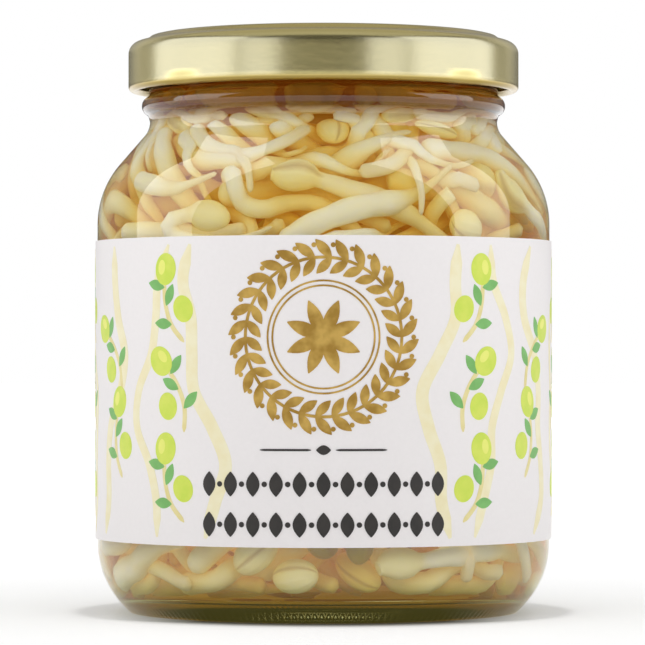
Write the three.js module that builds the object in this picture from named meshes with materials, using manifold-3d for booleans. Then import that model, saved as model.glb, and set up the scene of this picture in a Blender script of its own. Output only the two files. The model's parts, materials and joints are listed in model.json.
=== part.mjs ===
// A jar of bean sprouts in brine: a round glass jar with a four-lug twist-off lid, a paper label
// wrapped round it, and mung bean sprouts, loose beans and seed coats packed inside the brine.
// Millimetres, +Z up. The origin is the middle of the base ring that the jar stands on.
// The front of the jar looks along -Y. An azimuth is in degrees, 0 at the front, growing towards +X.
import * as THREE from "three";
import { mergeVertices } from "three/addons/utils/BufferGeometryUtils.js";
import Module from "manifold-3d";

const wasm = await Module();
wasm.setup();

// Driving dimensions.
const BODY_RADIUS = 38.9; // outside of the glass body
const GLASS = 2.4; // wall thickness
const HEEL_TOP = 12; // height where the rounded heel meets the straight body
const HEEL_CURVE = 15.5;
const SHOULDER_FOOT = 66.5; // height where the body starts to curve in
const SHOULDER_CURVE = 15.8;
const SHOULDER_LEAN = 41.2; // steepest slope of the shoulder, degrees from vertical
const NECK_RADIUS = 29.9;
const NECK_FOOT = 84.2; // height where the shoulder has become the neck
const NECK_CURVE = 3.8;
const RIM_TOP = 97.3;
const BEAD_HEIGHT = 86.9; // middle of the ring under the thread
const LID_RADIUS = 33.6;
const LID_FOOT = 89.3;
const LID_TOP = 99;
const LABEL_LOW = 12.7;
const LABEL_HIGH = 63.6;
const LABEL_THICKNESS = 0.25;
const LABEL_GAP = 0.1; // between the glass and the paper
const LAP = 0.25; // the label's free end lies on its start, this much further out
const BRINE_LEVEL = 91.5;
const CLEARANCE = 0.3; // between the contents and the glass
const FACETS = 40; // segments round the jar
const LUGS = 4;
const LUG_AZIMUTH = 45; // of the first lug
const radians = THREE.MathUtils.degToRad;

// Points of an arc about (r, z), from one angle to another, in degrees.
function arc(r, z, radius, from, to, steps) {
  return Array.from({ length: steps + 1 }, (_, i) => {
    const a = radians(from + ((to - from) * i) / steps);
    return [r + radius * Math.cos(a), z + radius * Math.sin(a)];
  });
}

// A solid of revolution about Z. The profile is a list of [radius, height] that runs anticlockwise.
function turned(profile) {
  const points = profile.map(([r, z]) => new THREE.Vector2(r, z));
  return new THREE.LatheGeometry(points, FACETS).rotateX(Math.PI / 2);
}

// The outside of the glass from the heel to the neck, moved inwards by a wall thickness.
function wallProfile(inset, heelSteps, shoulderSteps) {
  const heelFoot = inset ? -35.5 : -47.6;
  return [
    ...arc(BODY_RADIUS - HEEL_CURVE, HEEL_TOP, HEEL_CURVE - inset, heelFoot, 0, heelSteps),
    ...arc(
      BODY_RADIUS - SHOULDER_CURVE, SHOULDER_FOOT, SHOULDER_CURVE - inset, 0, SHOULDER_LEAN, shoulderSteps,
    ),
    ...arc(
      NECK_RADIUS + NECK_CURVE, NECK_FOOT, NECK_CURVE + inset, 180 + SHOULDER_LEAN, 180, 2,
    ),
  ];
}

const FLOOR = [[0, 5.3], [15, 4.9], [30, 3.7], [33.4, 3.9]]; // inside of the pushed-up base
const INSIDE = [...FLOOR, ...wallProfile(GLASS, 3, 3), [NECK_RADIUS - GLASS, RIM_TOP - 0.8]];

const PUSH_UP = [[0, 2.2], [24, 1.2], [28.8, 0.5], [30, 0], [33, 0], [33.6, 0.15]];
const BEAD = arc(NECK_RADIUS - 0.3, BEAD_HEIGHT, 1.7, -65, 65, 3);
const FINISH = [[30.1, 88.9], [30.1, 96.5], [29.5, 97.2], [28.9, RIM_TOP], [28.1, 97.1]];

// Solids from three.js geometry and back.
function solid(geometry) {
  const bare = geometry.clone();
  bare.deleteAttribute("normal");
  bare.deleteAttribute("uv");
  const merged = mergeVertices(bare, 1e-4);
  return new wasm.Manifold(
    new wasm.Mesh({
      numProp: 3,
      vertProperties: new Float32Array(merged.attributes.position.array),
      triVerts: new Uint32Array(merged.index.array),
    }),
  );
}

function geometryOf(manifold) {
  const mesh = manifold.getMesh();
  const geometry = new THREE.BufferGeometry();
  geometry.setAttribute("position", new THREE.BufferAttribute(mesh.vertProperties, 3));
  geometry.setIndex(new THREE.BufferAttribute(mesh.triVerts, 1));
  const flat = geometry.toNonIndexed();
  flat.computeVertexNormals();
  return flat;
}

function joined(geometries) {
  return geometryOf(geometries.map(solid).reduce((whole, one) => whole.add(one)));
}

// A closed skin over rings of points. Each end closes on one point.
function lofted(start, rings, end) {
  const sides = rings[0].length;
  const points = [start, ...rings.flat(), end];
  const last = points.length - 1;
  const index = [];
  for (let j = 0; j < sides; j++) {
    const k = (j + 1) % sides;
    index.push(0, 1 + k, 1 + j);
    for (let i = 0; i < rings.length - 1; i++) {
      const low = 1 + i * sides;
      const high = low + sides;
      index.push(low + j, low + k, high + k, low + j, high + k, high + j);
    }
    index.push(last, last - sides + j, last - sides + k);
  }
  const geometry = new THREE.BufferGeometry();
  const positions = points.flatMap((p) => [p.x, p.y, p.z]);
  geometry.setAttribute("position", new THREE.Float32BufferAttribute(positions, 3));
  geometry.setIndex(index);
  return geometry;
}

// A place round the jar: azimuth in degrees, distance from the axis, height.
function place(azimuth, r, z) {
  const a = radians(azimuth);
  return new THREE.Vector3(r * Math.sin(a), -r * Math.cos(a), z);
}

// A bar that runs round the jar: its section is a list of [radius, height], carried from one
// azimuth to another while it rises by lift.
function ringBar(section, from, to, lift, steps) {
  const clockwise = section.slice().reverse();
  const rings = Array.from({ length: steps + 1 }, (_, i) =>
    clockwise.map(([r, z]) => place(from + ((to - from) * i) / steps, r, z + (lift * i) / steps)),
  );
  const middle = (ring) => ring.reduce((sum, p) => sum.add(p), new THREE.Vector3()).divideScalar(ring.length);
  return lofted(middle(rings[0]), rings, middle(rings[steps]));
}

// The jar: the outside up to the rim, then down the inside, with a thread of four ridges.
const THREAD = { inner: 29.6, crest: 31.2, low: 90.95, rise: 1.5, before: 12, after: 48 };

function threadRidge(azimuth) {
  const { inner, crest, low, rise, before, after } = THREAD;
  const section = [[inner, low], [crest, low + 0.15], [crest, low + 0.75], [inner, low + 1.5]];
  return ringBar(section, azimuth - before, azimuth + after, rise, 5);
}

function jarGeometry() {
  const outside = [...PUSH_UP, ...wallProfile(0, 4, 5), ...BEAD, ...FINISH];
  const body = turned([...outside, ...INSIDE.slice().reverse()]);
  const ridges = lugAzimuths().map(threadRidge);
  return joined([body, ...ridges]);
}

function lugAzimuths() {
  return Array.from({ length: LUGS }, (_, i) => LUG_AZIMUTH + (360 / LUGS) * i);
}

// The lid: pressed sheet with a raised stacking ring, a safety button and a curled foot with lugs.
const SHEET = 0.5;
const SKIRT_CORNER = 2.1;
const CURL = 0.9;

function lidGeometry() {
  const panel = 98.25;
  const top = [[0, 97.75], [7.5, 97.9], [9, panel], [23.5, panel], [25.5, 98.55], [27.2, LID_TOP]];
  const ring = [[29.2, LID_TOP], [30, 98.7], [30.6, 98.15]];
  const corner = arc(LID_RADIUS - SKIRT_CORNER, 95.85, SKIRT_CORNER, 90, 0, 3);
  const curl = arc(LID_RADIUS - CURL, LID_FOOT + CURL, CURL, 0, -180, 4);
  const inside = [[32, 90.9], [33.1, 91.3]];
  const innerCorner = arc(LID_RADIUS - SKIRT_CORNER, 95.85, SKIRT_CORNER - SHEET, 0, 90, 2);
  const under = [[30.35, 97.65], [29.65, 98.3], [29, 98.5], [27.4, 98.5], [25.7, 98.05]];
  const middle = [[23.4, panel - SHEET], [9.2, panel - SHEET], [7.8, 97.4], [0, 97.25]];
  const outline = [...top, ...ring, ...corner, ...curl, ...inside, ...innerCorner, ...under, ...middle];
  const lugs = lugAzimuths().map((azimuth) => {
    const section = [[30.55, 90], [32.4, 89.6], [32.4, 90.7], [30.55, 90.7]];
    return ringBar(section, azimuth - 8, azimuth + 8, 0, 2);
  });
  return joined([turned(outline.reverse()), ...lugs]);
}

// The sealing compound in the lid's channel, which the rim presses on.
function gasketGeometry() {
  const section = [[26.7, 97.42], [29.8, 97.42], [29.4, 98], [28.7, 98.28], [27.6, 98.28]];
  return turned([...section, section[0]]);
}

// The label: a ring of paper whose free end laps over its start at the back.
function labelGeometry() {
  const inner = BODY_RADIUS + LABEL_GAP;
  const lapSteps = 1;
  const outerAt = (i) => inner + LABEL_THICKNESS + (i <= lapSteps ? LAP : 0);
  const at = (i, r) => {
    const a = (2 * Math.PI * i) / FACETS + Math.PI / 2;
    return new THREE.Vector2(r * Math.cos(a), r * Math.sin(a));
  };
  const edge = Array.from({ length: FACETS }, (_, i) => at(i, outerAt(i)));
  edge.splice(lapSteps + 1, 0, at(lapSteps, inner + LABEL_THICKNESS));
  edge.push(at(0, inner + LABEL_THICKNESS));
  const shape = new THREE.Shape(edge);
  shape.holes.push(new THREE.Path(Array.from({ length: FACETS }, (_, i) => at(i, inner))));
  const height = LABEL_HIGH - LABEL_LOW;
  return new THREE.ExtrudeGeometry(shape, { depth: height, bevelEnabled: false }).translate(0, 0, LABEL_LOW);
}

// The brine: full-width layers over and under the sprouts, and the column in the middle of them.
const COLUMN = [[5.8, 18], [60, 18], [70, 9], [88.6, 9]]; // [height, radius]
const BRINE_FOOT = 5.3; // top of the layer under the sprouts
const BRINE_CAP = 89.2; // foot of the layer over them

function brineGeometry() {
  const neck = NECK_RADIUS - GLASS - CLEARANCE;
  const foot = [[0, 5.65], [15, 5.25], [30, 4.05], [33.2, 4.25], [34, 4.8], [34, BRINE_FOOT]];
  const column = COLUMN.map(([z, r]) => [r, z]);
  const cap = [[9.4, BRINE_CAP], [neck, BRINE_CAP], [neck, BRINE_LEVEL], [0, BRINE_LEVEL]];
  return turned([...foot, ...column, ...cap]);
}

// The contents. Park and Miller's generator gives the same numbers in any language.
let seed = 109;

function random(low = 0, high = 1) {
  seed = (seed * 16807) % 2147483647;
  return low + ((high - low) * seed) / 2147483647;
}

// Every sprout, bean and seed coat is a chain of points, and its girth changes along it.
const POINTS = 15;
const SPROUT = { headLength: 8, headRadius: 2.5, taper: 11, tailRadius: 0.55, thinTail: 0.35 };

// What the front shows, as routes of [azimuth, height] from the head end to the root end.
// The first two numbers are the stem's radius and whether it carries its bean.
const TOP_ROUTES = [
  [1.9, 0, [-31, 70.5], [-1, 74.6], [31, 78.3]],
  [2.1, 0, [-3, 68.2], [14, 72.4], [32, 74.4], [54, 75.2]],
  [1.95, 0, [-12, 63.4], [14, 69], [42, 72.2]],
  [1.9, 0, [-4, 59.5], [16, 65], [38, 69.2]],
  [2.2, 0, [33, 75.5], [52, 75.6], [66, 73], [82, 68]],
  [2, 0, [32, 70.2], [52, 69.4], [82, 65.5]],
  [2.1, 0, [-36, 81], [-19, 78], [-10, 75.9], [-5, 76.2], [-5, 78.2]],
  [1.2, 0, [-24, 85], [-16, 80.7], [-7, 76]],
  [1.35, 0, [-49, 81.5], [-26, 72.4], [-18, 69]],
  [1.5, 1, [-34, 78.8], [-22, 75], [-8, 71.5]],
  [1.5, 0, [-62, 72.5], [-45, 71.2], [-30, 73.6]],
  [1.8, 0, [-80, 67.2], [-42, 69.2]],
  [1.6, 1, [-26, 67.9], [-41, 67.6], [-46, 65.6], [-40, 63.6], [-12, 64.2]],
  [1.5, 0, [-84, 76], [-70, 79], [-42, 79.8]],
  [1.1, 1, [31, 83], [30, 78], [28, 71.5], [24, 64]],
  [1.3, 0, [41, 71], [34, 68.6], [32, 64], [36, 58]],
  [1.8, 0, [38, 81.8], [88, 81]],
  [1.7, 0, [-92, 68], [-80, 72], [-62, 76.8]],
  [1.7, 0, [60, 79.8], [78, 76], [94, 70]],
  [1.6, 0, [-66, 84.4], [-18, 85.2]],
  [1.8, 0, [12, 85.4], [62, 84.8]],
];
const BOTTOM_ROUTES = [
  [2, 0, [-76, 7.2], [-61, 10.3], [-40, 13.5]],
  [2.2, 0, [-66, 7.2], [-48, 7.6], [-39, 11], [-44, 17]],
  [1.7, 0, [-88, 17], [-84, 11], [-78, 7.2]],
  [1.8, 1, [-36, 12.6], [-12, 12.4], [8, 17]],
  [1.9, 0, [-38, 7.3], [-25, 9.6], [-10, 14], [0, 20]],
  [1.7, 0, [2, 13], [38, 12.8]],
  [1.8, 0, [30, 14], [41, 11.5], [42, 7.2]],
  [2.1, 0, [42, 18], [49, 11], [58, 7.2]],
  [2, 0, [56, 18], [64, 12], [74, 7.2]],
];
// Radius, length, and the route's two ends.
const BEANS = [
  [2.6, 7, [-3, 76.4], [-4, 82.8]],
  [1.9, 8.5, [31, 79], [46, 80.4]],
  [2.7, 6.5, [38, 66], [46, 65.8]],
  [2.8, 8.5, [-21, 7.8], [-9, 10.6]],
  [2.6, 7.5, [-16, 8], [-4, 8]],
  [2.3, 8, [4, 7.6], [18, 7.6]],
];
const SEED_COATS = [
  [2.6, 6.5, [0, 12.4], [0, 7.6]],
  [2.4, 7.5, [9, 12.4], [9, 7.6]],
  [2.7, 6.5, [18, 12.4], [18, 7.6]],
];

// Inner wall radius at each height, in half millimetres, for keeping the contents off the glass.
const STEP = 0.5;
const wallTable = Array.from({ length: 2 * 100 + 1 }, (_, i) => wallAt(i * STEP));

function wallAt(z) {
  const low = INSIDE.findLastIndex(([, height], i) => i >= FLOOR.length - 1 && height <= z);
  if (low < 0) return FLOOR[FLOOR.length - 1][0];
  const [r0, z0] = INSIDE[low];
  const [r1, z1] = INSIDE[Math.min(low + 1, INSIDE.length - 1)];
  return z1 > z0 ? r0 + ((r1 - r0) * (z - z0)) / (z1 - z0) : r0;
}

// How far from the axis the middle of a ball may be, so that it touches the glass nowhere.
function outerLimit(z, radius) {
  const reach = radius + CLEARANCE;
  let limit = Infinity;
  for (let k = -4; k <= 4; k++) {
    const dz = (k / 4) * reach;
    const at = Math.max(0, Math.min(wallTable.length - 2, (z + dz) / STEP));
    const low = Math.floor(at);
    const wall = wallTable[low] + (wallTable[low + 1] - wallTable[low]) * (at - low);
    limit = Math.min(limit, wall - Math.sqrt(reach * reach - dz * dz));
  }
  return limit;
}

function columnRadius(z) {
  const at = COLUMN.findIndex(([height]) => height > z);
  if (at <= 0) return COLUMN[at < 0 ? COLUMN.length - 1 : 0][1];
  const [z0, r0] = COLUMN[at - 1];
  const [z1, r1] = COLUMN[at];
  return r0 + ((r1 - r0) * (z - z0)) / (z1 - z0);
}

// The radius at a distance from the head end.
function girthAt(chain, s) {
  const { length, girth, head, kind } = chain;
  if (kind !== "sprout") return girth * Math.sqrt(Math.max(0, 1 - (2 * s / length - 1) ** 2));
  const tail = Math.max(0, Math.min(1, (length - chain.tail - s) / SPROUT.taper));
  let radius = SPROUT.tailRadius + (girth - SPROUT.tailRadius) * tail * tail * (3 - 2 * tail);
  if (s > length - chain.tail) {
    radius += (SPROUT.thinTail - SPROUT.tailRadius) * (s - length + chain.tail) / chain.tail;
  }
  if (head) {
    const neck = Math.max(0, Math.min(1, (s - SPROUT.headLength + 1) / 7));
    radius *= 0.6 + 0.4 * neck;
    const across = 2 * s / SPROUT.headLength - 1;
    const bean = across < 1 ? SPROUT.headRadius * Math.sqrt(1 - across * across) : 0;
    return s < SPROUT.headLength / 2 ? bean : Math.max(bean, radius);
  }
  return s < radius ? Math.sqrt(radius * radius - (radius - s) ** 2) : radius;
}

// A chain along a route of points, evenly spaced.
function chainAlong(route, made) {
  const curve = new THREE.CatmullRomCurve3(route, false, "centripetal");
  const length = made.kind === "sprout" ? curve.getLength() : made.length;
  const chain = { ...made, length, points: curve.getSpacedPoints(POINTS - 1) };
  chain.spacing = length / (POINTS - 1);
  chain.radii = chain.points.map((_, i) => Math.max(1.1, girthAt(chain, i * chain.spacing)));
  return chain;
}

// How far behind the glass the leads start, in turn: one can then pass behind the next.
const DEPTHS = [0, 4];

function againstWall(steps, radius) {
  return steps.map(([azimuth, z]) => place(azimuth, outerLimit(z, radius), z));
}

// A stem that crosses another one behind it and sinks into it there. It leans the other way.
function crossing(front, index, angle, half, girth, head) {
  const at = front.points[index];
  const along = front.points[index + 1].clone().sub(front.points[index - 1]).normalize();
  const inwards = new THREE.Vector3(-at.x, -at.y, 0).normalize();
  const rises = along.z * (at.x * along.y - at.y * along.x) > 0;
  const direction = along.applyAxisAngle(inwards, radians(rises ? angle : -angle));
  const middle = at.clone().addScaledVector(inwards, 0.7 * (front.girth + girth));
  const route = [-1, -0.5, 0, 0.5, 1].map((t) =>
    middle.clone().addScaledVector(direction, half * t).addScaledVector(inwards, 1.2 * t * t),
  );
  return chainAlong(route, { kind: "sprout", girth, head, tail: random(2, 6) });
}

// A clump is the sprouts of one node: a lead near the glass and those that cross behind it.
function clump(name, route, order, girth, head, followers) {
  const places = againstWall(route, girth + DEPTHS[order % DEPTHS.length]);
  const lead = chainAlong(places, { kind: "sprout", girth, head, tail: random(1, 5) });
  const chains = [lead];
  const ties = [];
  for (let k = 0; k < followers; k++) {
    const front = chains[chains.length - 1];
    const index = Math.round(random(4, 8));
    const turn = random(30, 62);
    const behind = crossing(front, index, turn, random(13, 18), random(1.35, 1.9), random() < 0.4 ? 1 : 0);
    behind.crosses = (POINTS - 1) / 2;
    chains.push(behind);
    ties.push([k, index, k + 1, behind.crosses]);
    front.crossed = index;
  }
  return { name, chains, ties };
}

function numbered(name, number) {
  return `${name}_${String(number).padStart(2, "0")}`;
}

// A lead with no place in the routes: a gentle slope at a given azimuth and height.
function looseRoute(azimuth, z, slope, half) {
  const run = THREE.MathUtils.radToDeg(half / 34);
  const bow = random(-1.5, 1.5);
  return [[azimuth - run, z - slope * half], [azimuth, z + bow], [azimuth + run, z + slope * half]];
}

function looseClumps(name, count, firstAzimuth, spread, low, high, first) {
  return Array.from({ length: count }, (_, i) => {
    const azimuth = firstAzimuth + (spread * (i + 0.5)) / count + random(-5, 5);
    const level = low + (high - low) * ((i * 0.618) % 1);
    const route = looseRoute(azimuth, level, random(-0.35, 0.35), random(13, 17));
    return clump(numbered(name, first + i), route, i, random(1.5, 2), i % 2, 2);
  });
}

function small(name, kind, rows) {
  return rows.map(([girth, length, from, to], i) => {
    const route = againstWall([from, to], girth);
    return { name: `${name}_${i + 1}`, chains: [chainAlong(route, { kind, girth, length })], ties: [] };
  });
}

function named(name, routes) {
  return routes.map(([girth, head, ...route], i) =>
    clump(numbered(name, i + 1), route, i, girth, head, 1),
  );
}

const clumps = [
  ...named("sprouts_top", TOP_ROUTES),
  ...looseClumps("sprouts_top", 7, 100, 160, 67, 82, TOP_ROUTES.length + 1),
  ...looseClumps("sprouts_middle", 5, 0, 360, 24, 56, 1),
  ...named("sprouts_bottom", BOTTOM_ROUTES),
  ...looseClumps("sprouts_bottom", 4, 90, 180, 8.5, 15, BOTTOM_ROUTES.length + 1),
  ...small("bean", "bean", BEANS),
  ...small("seed_coat", "seed coat", SEED_COATS),
];

// Settling: the chains keep their lengths and bends, push each other apart and stay inside.
const ROUNDS = 1000;
const SEARCH_EVERY = 10;
const SEARCH_REACH = 3; // beyond touching
const SPARE = 0.65; // kept between two clumps
const SUNK = 0.5; // a tie's share of the two radii

const chains = clumps.flatMap((group) => group.chains);
const balls = clumps.flatMap((group, g) =>
  group.chains.flatMap((chain) =>
    chain.points.map((point, i) => ({ point, radius: chain.radii[i], g, chain, i })),
  ),
);

// The pairs of points that touch or nearly touch, with the distance each must keep.
function nearPairs() {
  const pairs = [];
  balls.forEach((a, i) => {
    for (let j = i + 1; j < balls.length; j++) {
      const b = balls[j];
      const same = a.chain === b.chain;
      if (same && (b.i - a.i < 5 || a.chain.kind !== "sprout")) continue;
      const apart = same || a.g !== b.g ? a.radius + b.radius + SPARE : SUNK * (a.radius + b.radius);
      if (a.point.distanceToSquared(b.point) < (apart + SEARCH_REACH) ** 2) pairs.push([a, b, apart]);
    }
  });
  return pairs;
}

const gap = new THREE.Vector3();

// Moves two points towards a distance from each other.
function pull(a, b, distance, share) {
  gap.copy(b).sub(a);
  const now = gap.length() || 1e-9;
  gap.multiplyScalar((0.5 * share * (now - distance)) / now);
  a.add(gap);
  b.sub(gap);
}

// A bean or a seed coat is stiff: its points lie on a straight line.
function keepStraight({ points, spacing }) {
  const middle = new THREE.Vector3();
  const along = new THREE.Vector3();
  const half = (POINTS - 1) / 2;
  points.forEach((point, i) => {
    middle.addScaledVector(point, 1 / POINTS);
    along.addScaledVector(point, i - half);
  });
  along.normalize();
  points.forEach((point, i) => point.copy(middle).addScaledVector(along, (i - half) * spacing));
}

// A stem keeps the distances between every second and every fourth point, then its spacing.
function keepShape(chain) {
  const { points, bends, spacing } = chain;
  for (const reach of [4, 2]) {
    for (let start = 0; start < 2 * reach; start++) {
      for (let i = start; i + reach < POINTS; i += 2 * reach) {
        pull(points[i], points[i + reach], bends[reach][i], 0.35);
      }
    }
  }
  for (const parity of [0, 1]) {
    for (let i = parity; i < POINTS - 1; i += 2) pull(points[i], points[i + 1], spacing, 1);
  }
}

// Every point moves by the sum of its pushes over the root of their number.
function keepApart(pairs) {
  for (const ball of balls) {
    ball.push = new THREE.Vector3();
    ball.hits = 0;
  }
  for (const [a, b, apart] of pairs) {
    gap.copy(b.point).sub(a.point);
    const now = gap.length() || 1e-9;
    if (now >= apart) continue;
    gap.multiplyScalar((0.5 * (apart - now)) / now);
    b.push.add(gap);
    a.push.sub(gap);
    a.hits++;
    b.hits++;
  }
  for (const { point, push, hits } of balls) if (hits) point.addScaledVector(push, 1 / Math.sqrt(hits));
}

// Back between the glass and the column, and between the two layers of brine.
function keepInside({ point, radius }) {
  const low = BRINE_FOOT + CLEARANCE + radius;
  const high = BRINE_CAP - CLEARANCE - radius;
  point.z = Math.max(low, Math.min(high, point.z));
  const r = Math.hypot(point.x, point.y) || 1e-9;
  const most = outerLimit(point.z, radius);
  const least = columnRadius(point.z) + CLEARANCE + radius;
  const wanted = Math.min(most, Math.max(least, r));
  point.x *= wanted / r;
  point.y *= wanted / r;
}

function settle() {
  for (const chain of chains) {
    chain.bends = { 2: [], 4: [] };
    for (const reach of [2, 4]) {
      for (let i = 0; i + reach < POINTS; i++) {
        chain.bends[reach].push(chain.points[i].distanceTo(chain.points[i + reach]));
      }
    }
  }
  let pairs = [];
  for (let round = 0; round < ROUNDS; round++) {
    if (round % SEARCH_EVERY === 0) pairs = nearPairs();
    for (const chain of chains) (chain.kind === "sprout" ? keepShape : keepStraight)(chain);
    keepApart(pairs);
    for (const group of clumps) {
      for (const [c, i, d, j] of group.ties) {
        const [a, b] = [group.chains[c], group.chains[d]];
        pull(a.points[i], b.points[j], SUNK * (girthAt(a, i * a.spacing) + girthAt(b, j * b.spacing)), 1);
      }
    }
    balls.forEach(keepInside);
  }
}

settle();

// A settled chain as a solid: rings round its middle line, with the flat of a bean to the glass.
const RINGS = { lead: 7, follower: 5, bean: 5 };
const SIDES = { lead: 5, follower: 4, bean: 7 };

function ringStops(chain, count) {
  const { length, head, kind } = chain;
  if (kind !== "sprout") {
    return Array.from({ length: count }, (_, i) => (length * (i + 0.6)) / (count + 0.2));
  }
  const headed = head ? [0.14, 0.5, 0.86].map((share) => share * SPROUT.headLength) : [0.6];
  const first = head ? SPROUT.headLength + 2 : 5;
  const left = count - headed.length;
  const step = (length - chain.tail - first) / (left - 1);
  const stem = Array.from({ length: left }, (_, i) => first + step * i);
  for (const index of [chain.crossed, chain.crosses]) {
    if (index === undefined) continue;
    const s = index * chain.spacing;
    const off = stem.map((t) => Math.abs(t - s));
    const nearest = off.indexOf(Math.min(...off));
    stem[nearest] = s;
  }
  return [...headed, ...stem];
}

function chainSolid(chain, role) {
  const curve = new THREE.CatmullRomCurve3(chain.points, false, "centripetal");
  const flatness = chain.kind === "sprout" ? 1 : 0.78;
  const sides = SIDES[role];
  const rings = ringStops(chain, RINGS[role]).map((s) => {
    const at = curve.getPointAt(s / chain.length);
    const along = curve.getTangentAt(s / chain.length);
    const across = new THREE.Vector3(at.x, at.y, 0).normalize().cross(along).normalize();
    const out = along.clone().cross(across);
    const radius = girthAt(chain, s);
    return Array.from({ length: sides }, (_, j) => {
      const a = (2 * Math.PI * (j + 0.5)) / sides;
      return at.clone()
        .addScaledVector(across, radius * Math.cos(a))
        .addScaledVector(out, radius * flatness * Math.sin(a));
    });
  });
  return lofted(curve.getPointAt(0), rings, curve.getPointAt(1));
}

// Materials.
function material(color, roughness, more = {}) {
  return new THREE.MeshStandardMaterial({ color, roughness, ...more });
}

const GREEN_GLASS = material("#dfe9e2", 0.04, { transparent: true, opacity: 0.35 });
const BRINE = material("#e0b970", 0.05, { transparent: true, opacity: 0.4 });
const GOLD_TINPLATE = material("#c9bb7c", 0.32, { metalness: 1 });
const SEALING_COMPOUND = material("#d8d2c0", 0.6);
const LABEL_PAPER = material("#f0eeee", 0.5);
const SPROUT_FLESH = material("#efe4c4", 0.35);
const BEAN_FLESH = material("#e3cd8c", 0.4);
const SEED_SKIN = material("#8e8430", 0.4);
const FLESH = { sprout: SPROUT_FLESH, bean: BEAN_FLESH, "seed coat": SEED_SKIN };

const jar = new THREE.Group();

function add(name, geometry, finish) {
  const mesh = new THREE.Mesh(geometry, finish);
  mesh.name = name;
  jar.add(mesh);
}

add("glass_jar", jarGeometry(), GREEN_GLASS);
add("label", labelGeometry(), LABEL_PAPER);
add("lid", lidGeometry(), GOLD_TINPLATE);
add("lid_gasket", gasketGeometry(), SEALING_COMPOUND);
add("brine", brineGeometry(), BRINE);
for (const { name, chains: members } of clumps) {
  const kind = members[0].kind;
  const roles = kind === "sprout" ? ["lead", "follower", "follower"] : ["bean"];
  const pieces = members.map((chain, i) => chainSolid(chain, roles[i]));
  add(name, joined(pieces), FLESH[kind]);
}

export default jar;
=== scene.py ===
# %% [markdown]
# # A jar of bean sprouts
# The object is a small round glass jar of mung bean sprouts in brine, closed with a gold twist-off lid
# and wrapped in a paper label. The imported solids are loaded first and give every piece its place.
# Each coarse solid is then replaced by a finer surface with its own finish. All sizes are in
# millimetres here, and only the function that makes a mesh turns them into metres.

import json
import math

import bpy
import numpy as np
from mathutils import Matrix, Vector

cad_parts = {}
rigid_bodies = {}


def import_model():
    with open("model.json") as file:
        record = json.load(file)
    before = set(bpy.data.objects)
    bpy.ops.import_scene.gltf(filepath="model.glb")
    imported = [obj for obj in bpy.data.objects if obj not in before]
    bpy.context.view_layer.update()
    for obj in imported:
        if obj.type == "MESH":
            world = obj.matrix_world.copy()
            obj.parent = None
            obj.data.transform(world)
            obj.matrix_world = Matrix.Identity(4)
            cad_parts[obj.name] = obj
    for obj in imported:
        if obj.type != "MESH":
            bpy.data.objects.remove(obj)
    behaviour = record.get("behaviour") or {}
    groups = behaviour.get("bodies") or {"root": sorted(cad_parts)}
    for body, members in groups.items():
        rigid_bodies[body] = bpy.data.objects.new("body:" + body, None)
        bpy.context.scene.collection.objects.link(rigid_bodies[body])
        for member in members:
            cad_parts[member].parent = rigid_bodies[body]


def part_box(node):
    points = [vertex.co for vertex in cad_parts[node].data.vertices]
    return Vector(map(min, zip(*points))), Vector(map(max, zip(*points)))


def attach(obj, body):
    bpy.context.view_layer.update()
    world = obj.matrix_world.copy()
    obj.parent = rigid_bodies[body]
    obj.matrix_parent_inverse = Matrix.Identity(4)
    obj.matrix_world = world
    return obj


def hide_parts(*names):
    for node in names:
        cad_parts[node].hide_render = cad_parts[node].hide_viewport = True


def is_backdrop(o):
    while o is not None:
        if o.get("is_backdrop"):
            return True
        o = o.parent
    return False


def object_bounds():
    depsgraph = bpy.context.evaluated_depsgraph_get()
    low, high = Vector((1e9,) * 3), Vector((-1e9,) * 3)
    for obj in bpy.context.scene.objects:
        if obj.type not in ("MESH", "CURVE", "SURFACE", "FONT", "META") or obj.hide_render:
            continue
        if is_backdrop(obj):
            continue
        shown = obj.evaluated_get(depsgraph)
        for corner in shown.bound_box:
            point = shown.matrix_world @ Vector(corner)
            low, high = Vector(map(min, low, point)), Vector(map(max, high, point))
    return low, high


for left_over in list(bpy.data.objects):
    bpy.data.objects.remove(left_over)
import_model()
bpy.context.view_layer.update()
MM = 0.001

# %% [markdown]
# ## Sizes that several pieces share
# The glass decides everything: the paper lies on it, the lid goes round its mouth and the sprouts stay
# inside its wall. The outer profile could be traced point by point. It is written as straight stretches
# and arcs instead, because a jar mould is turned from exactly such lines.

# %% Driving dimensions, in millimetres
BODY_RADIUS = 38.9
GLASS = 2.4  # wall thickness
HEEL_TOP = 12.0
HEEL_CURVE = 15.5
SHOULDER_FOOT = 66.5
SHOULDER_CURVE = 15.8
SHOULDER_LEAN = 41.2  # degrees
NECK_RADIUS = 29.9
NECK_FOOT = 84.2
NECK_CURVE = 3.8
RIM_TOP = 97.3
BEAD_HEIGHT = 86.9
LID_RADIUS = 33.6
LID_FOOT = 89.3
LID_TOP = 99.0
LABEL_LOW = 12.7
LABEL_HIGH = 63.6
LABEL_THICKNESS = 0.25
LABEL_GAP = 0.1
LAP = 0.25
BRINE_LEVEL = 91.5
LUGS = 4
LUG_AZIMUTH = 45.0
FINE = 200  # facets round the jar


def node_box(name):
    """A node's corners in millimetres."""
    low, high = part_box(name)
    return np.array(low) / MM, np.array(high) / MM


low, high = node_box("glass_jar")
assert abs(high[0] - BODY_RADIUS) < 0.2 and abs(high[2] - RIM_TOP) < 0.01
print("glass is", round(high[0] - low[0], 1), "mm wide and", round(high[2], 1), "mm tall")

# %% [markdown]
# ## The camera
# The photograph was taken from far off with a long lens, level with the middle of the label: the
# edges of the label bend down above that height and up below it only a little. A level camera with a
# shifted lens would do the same, but a slight upward tilt keeps the shift at zero for other views.

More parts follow.
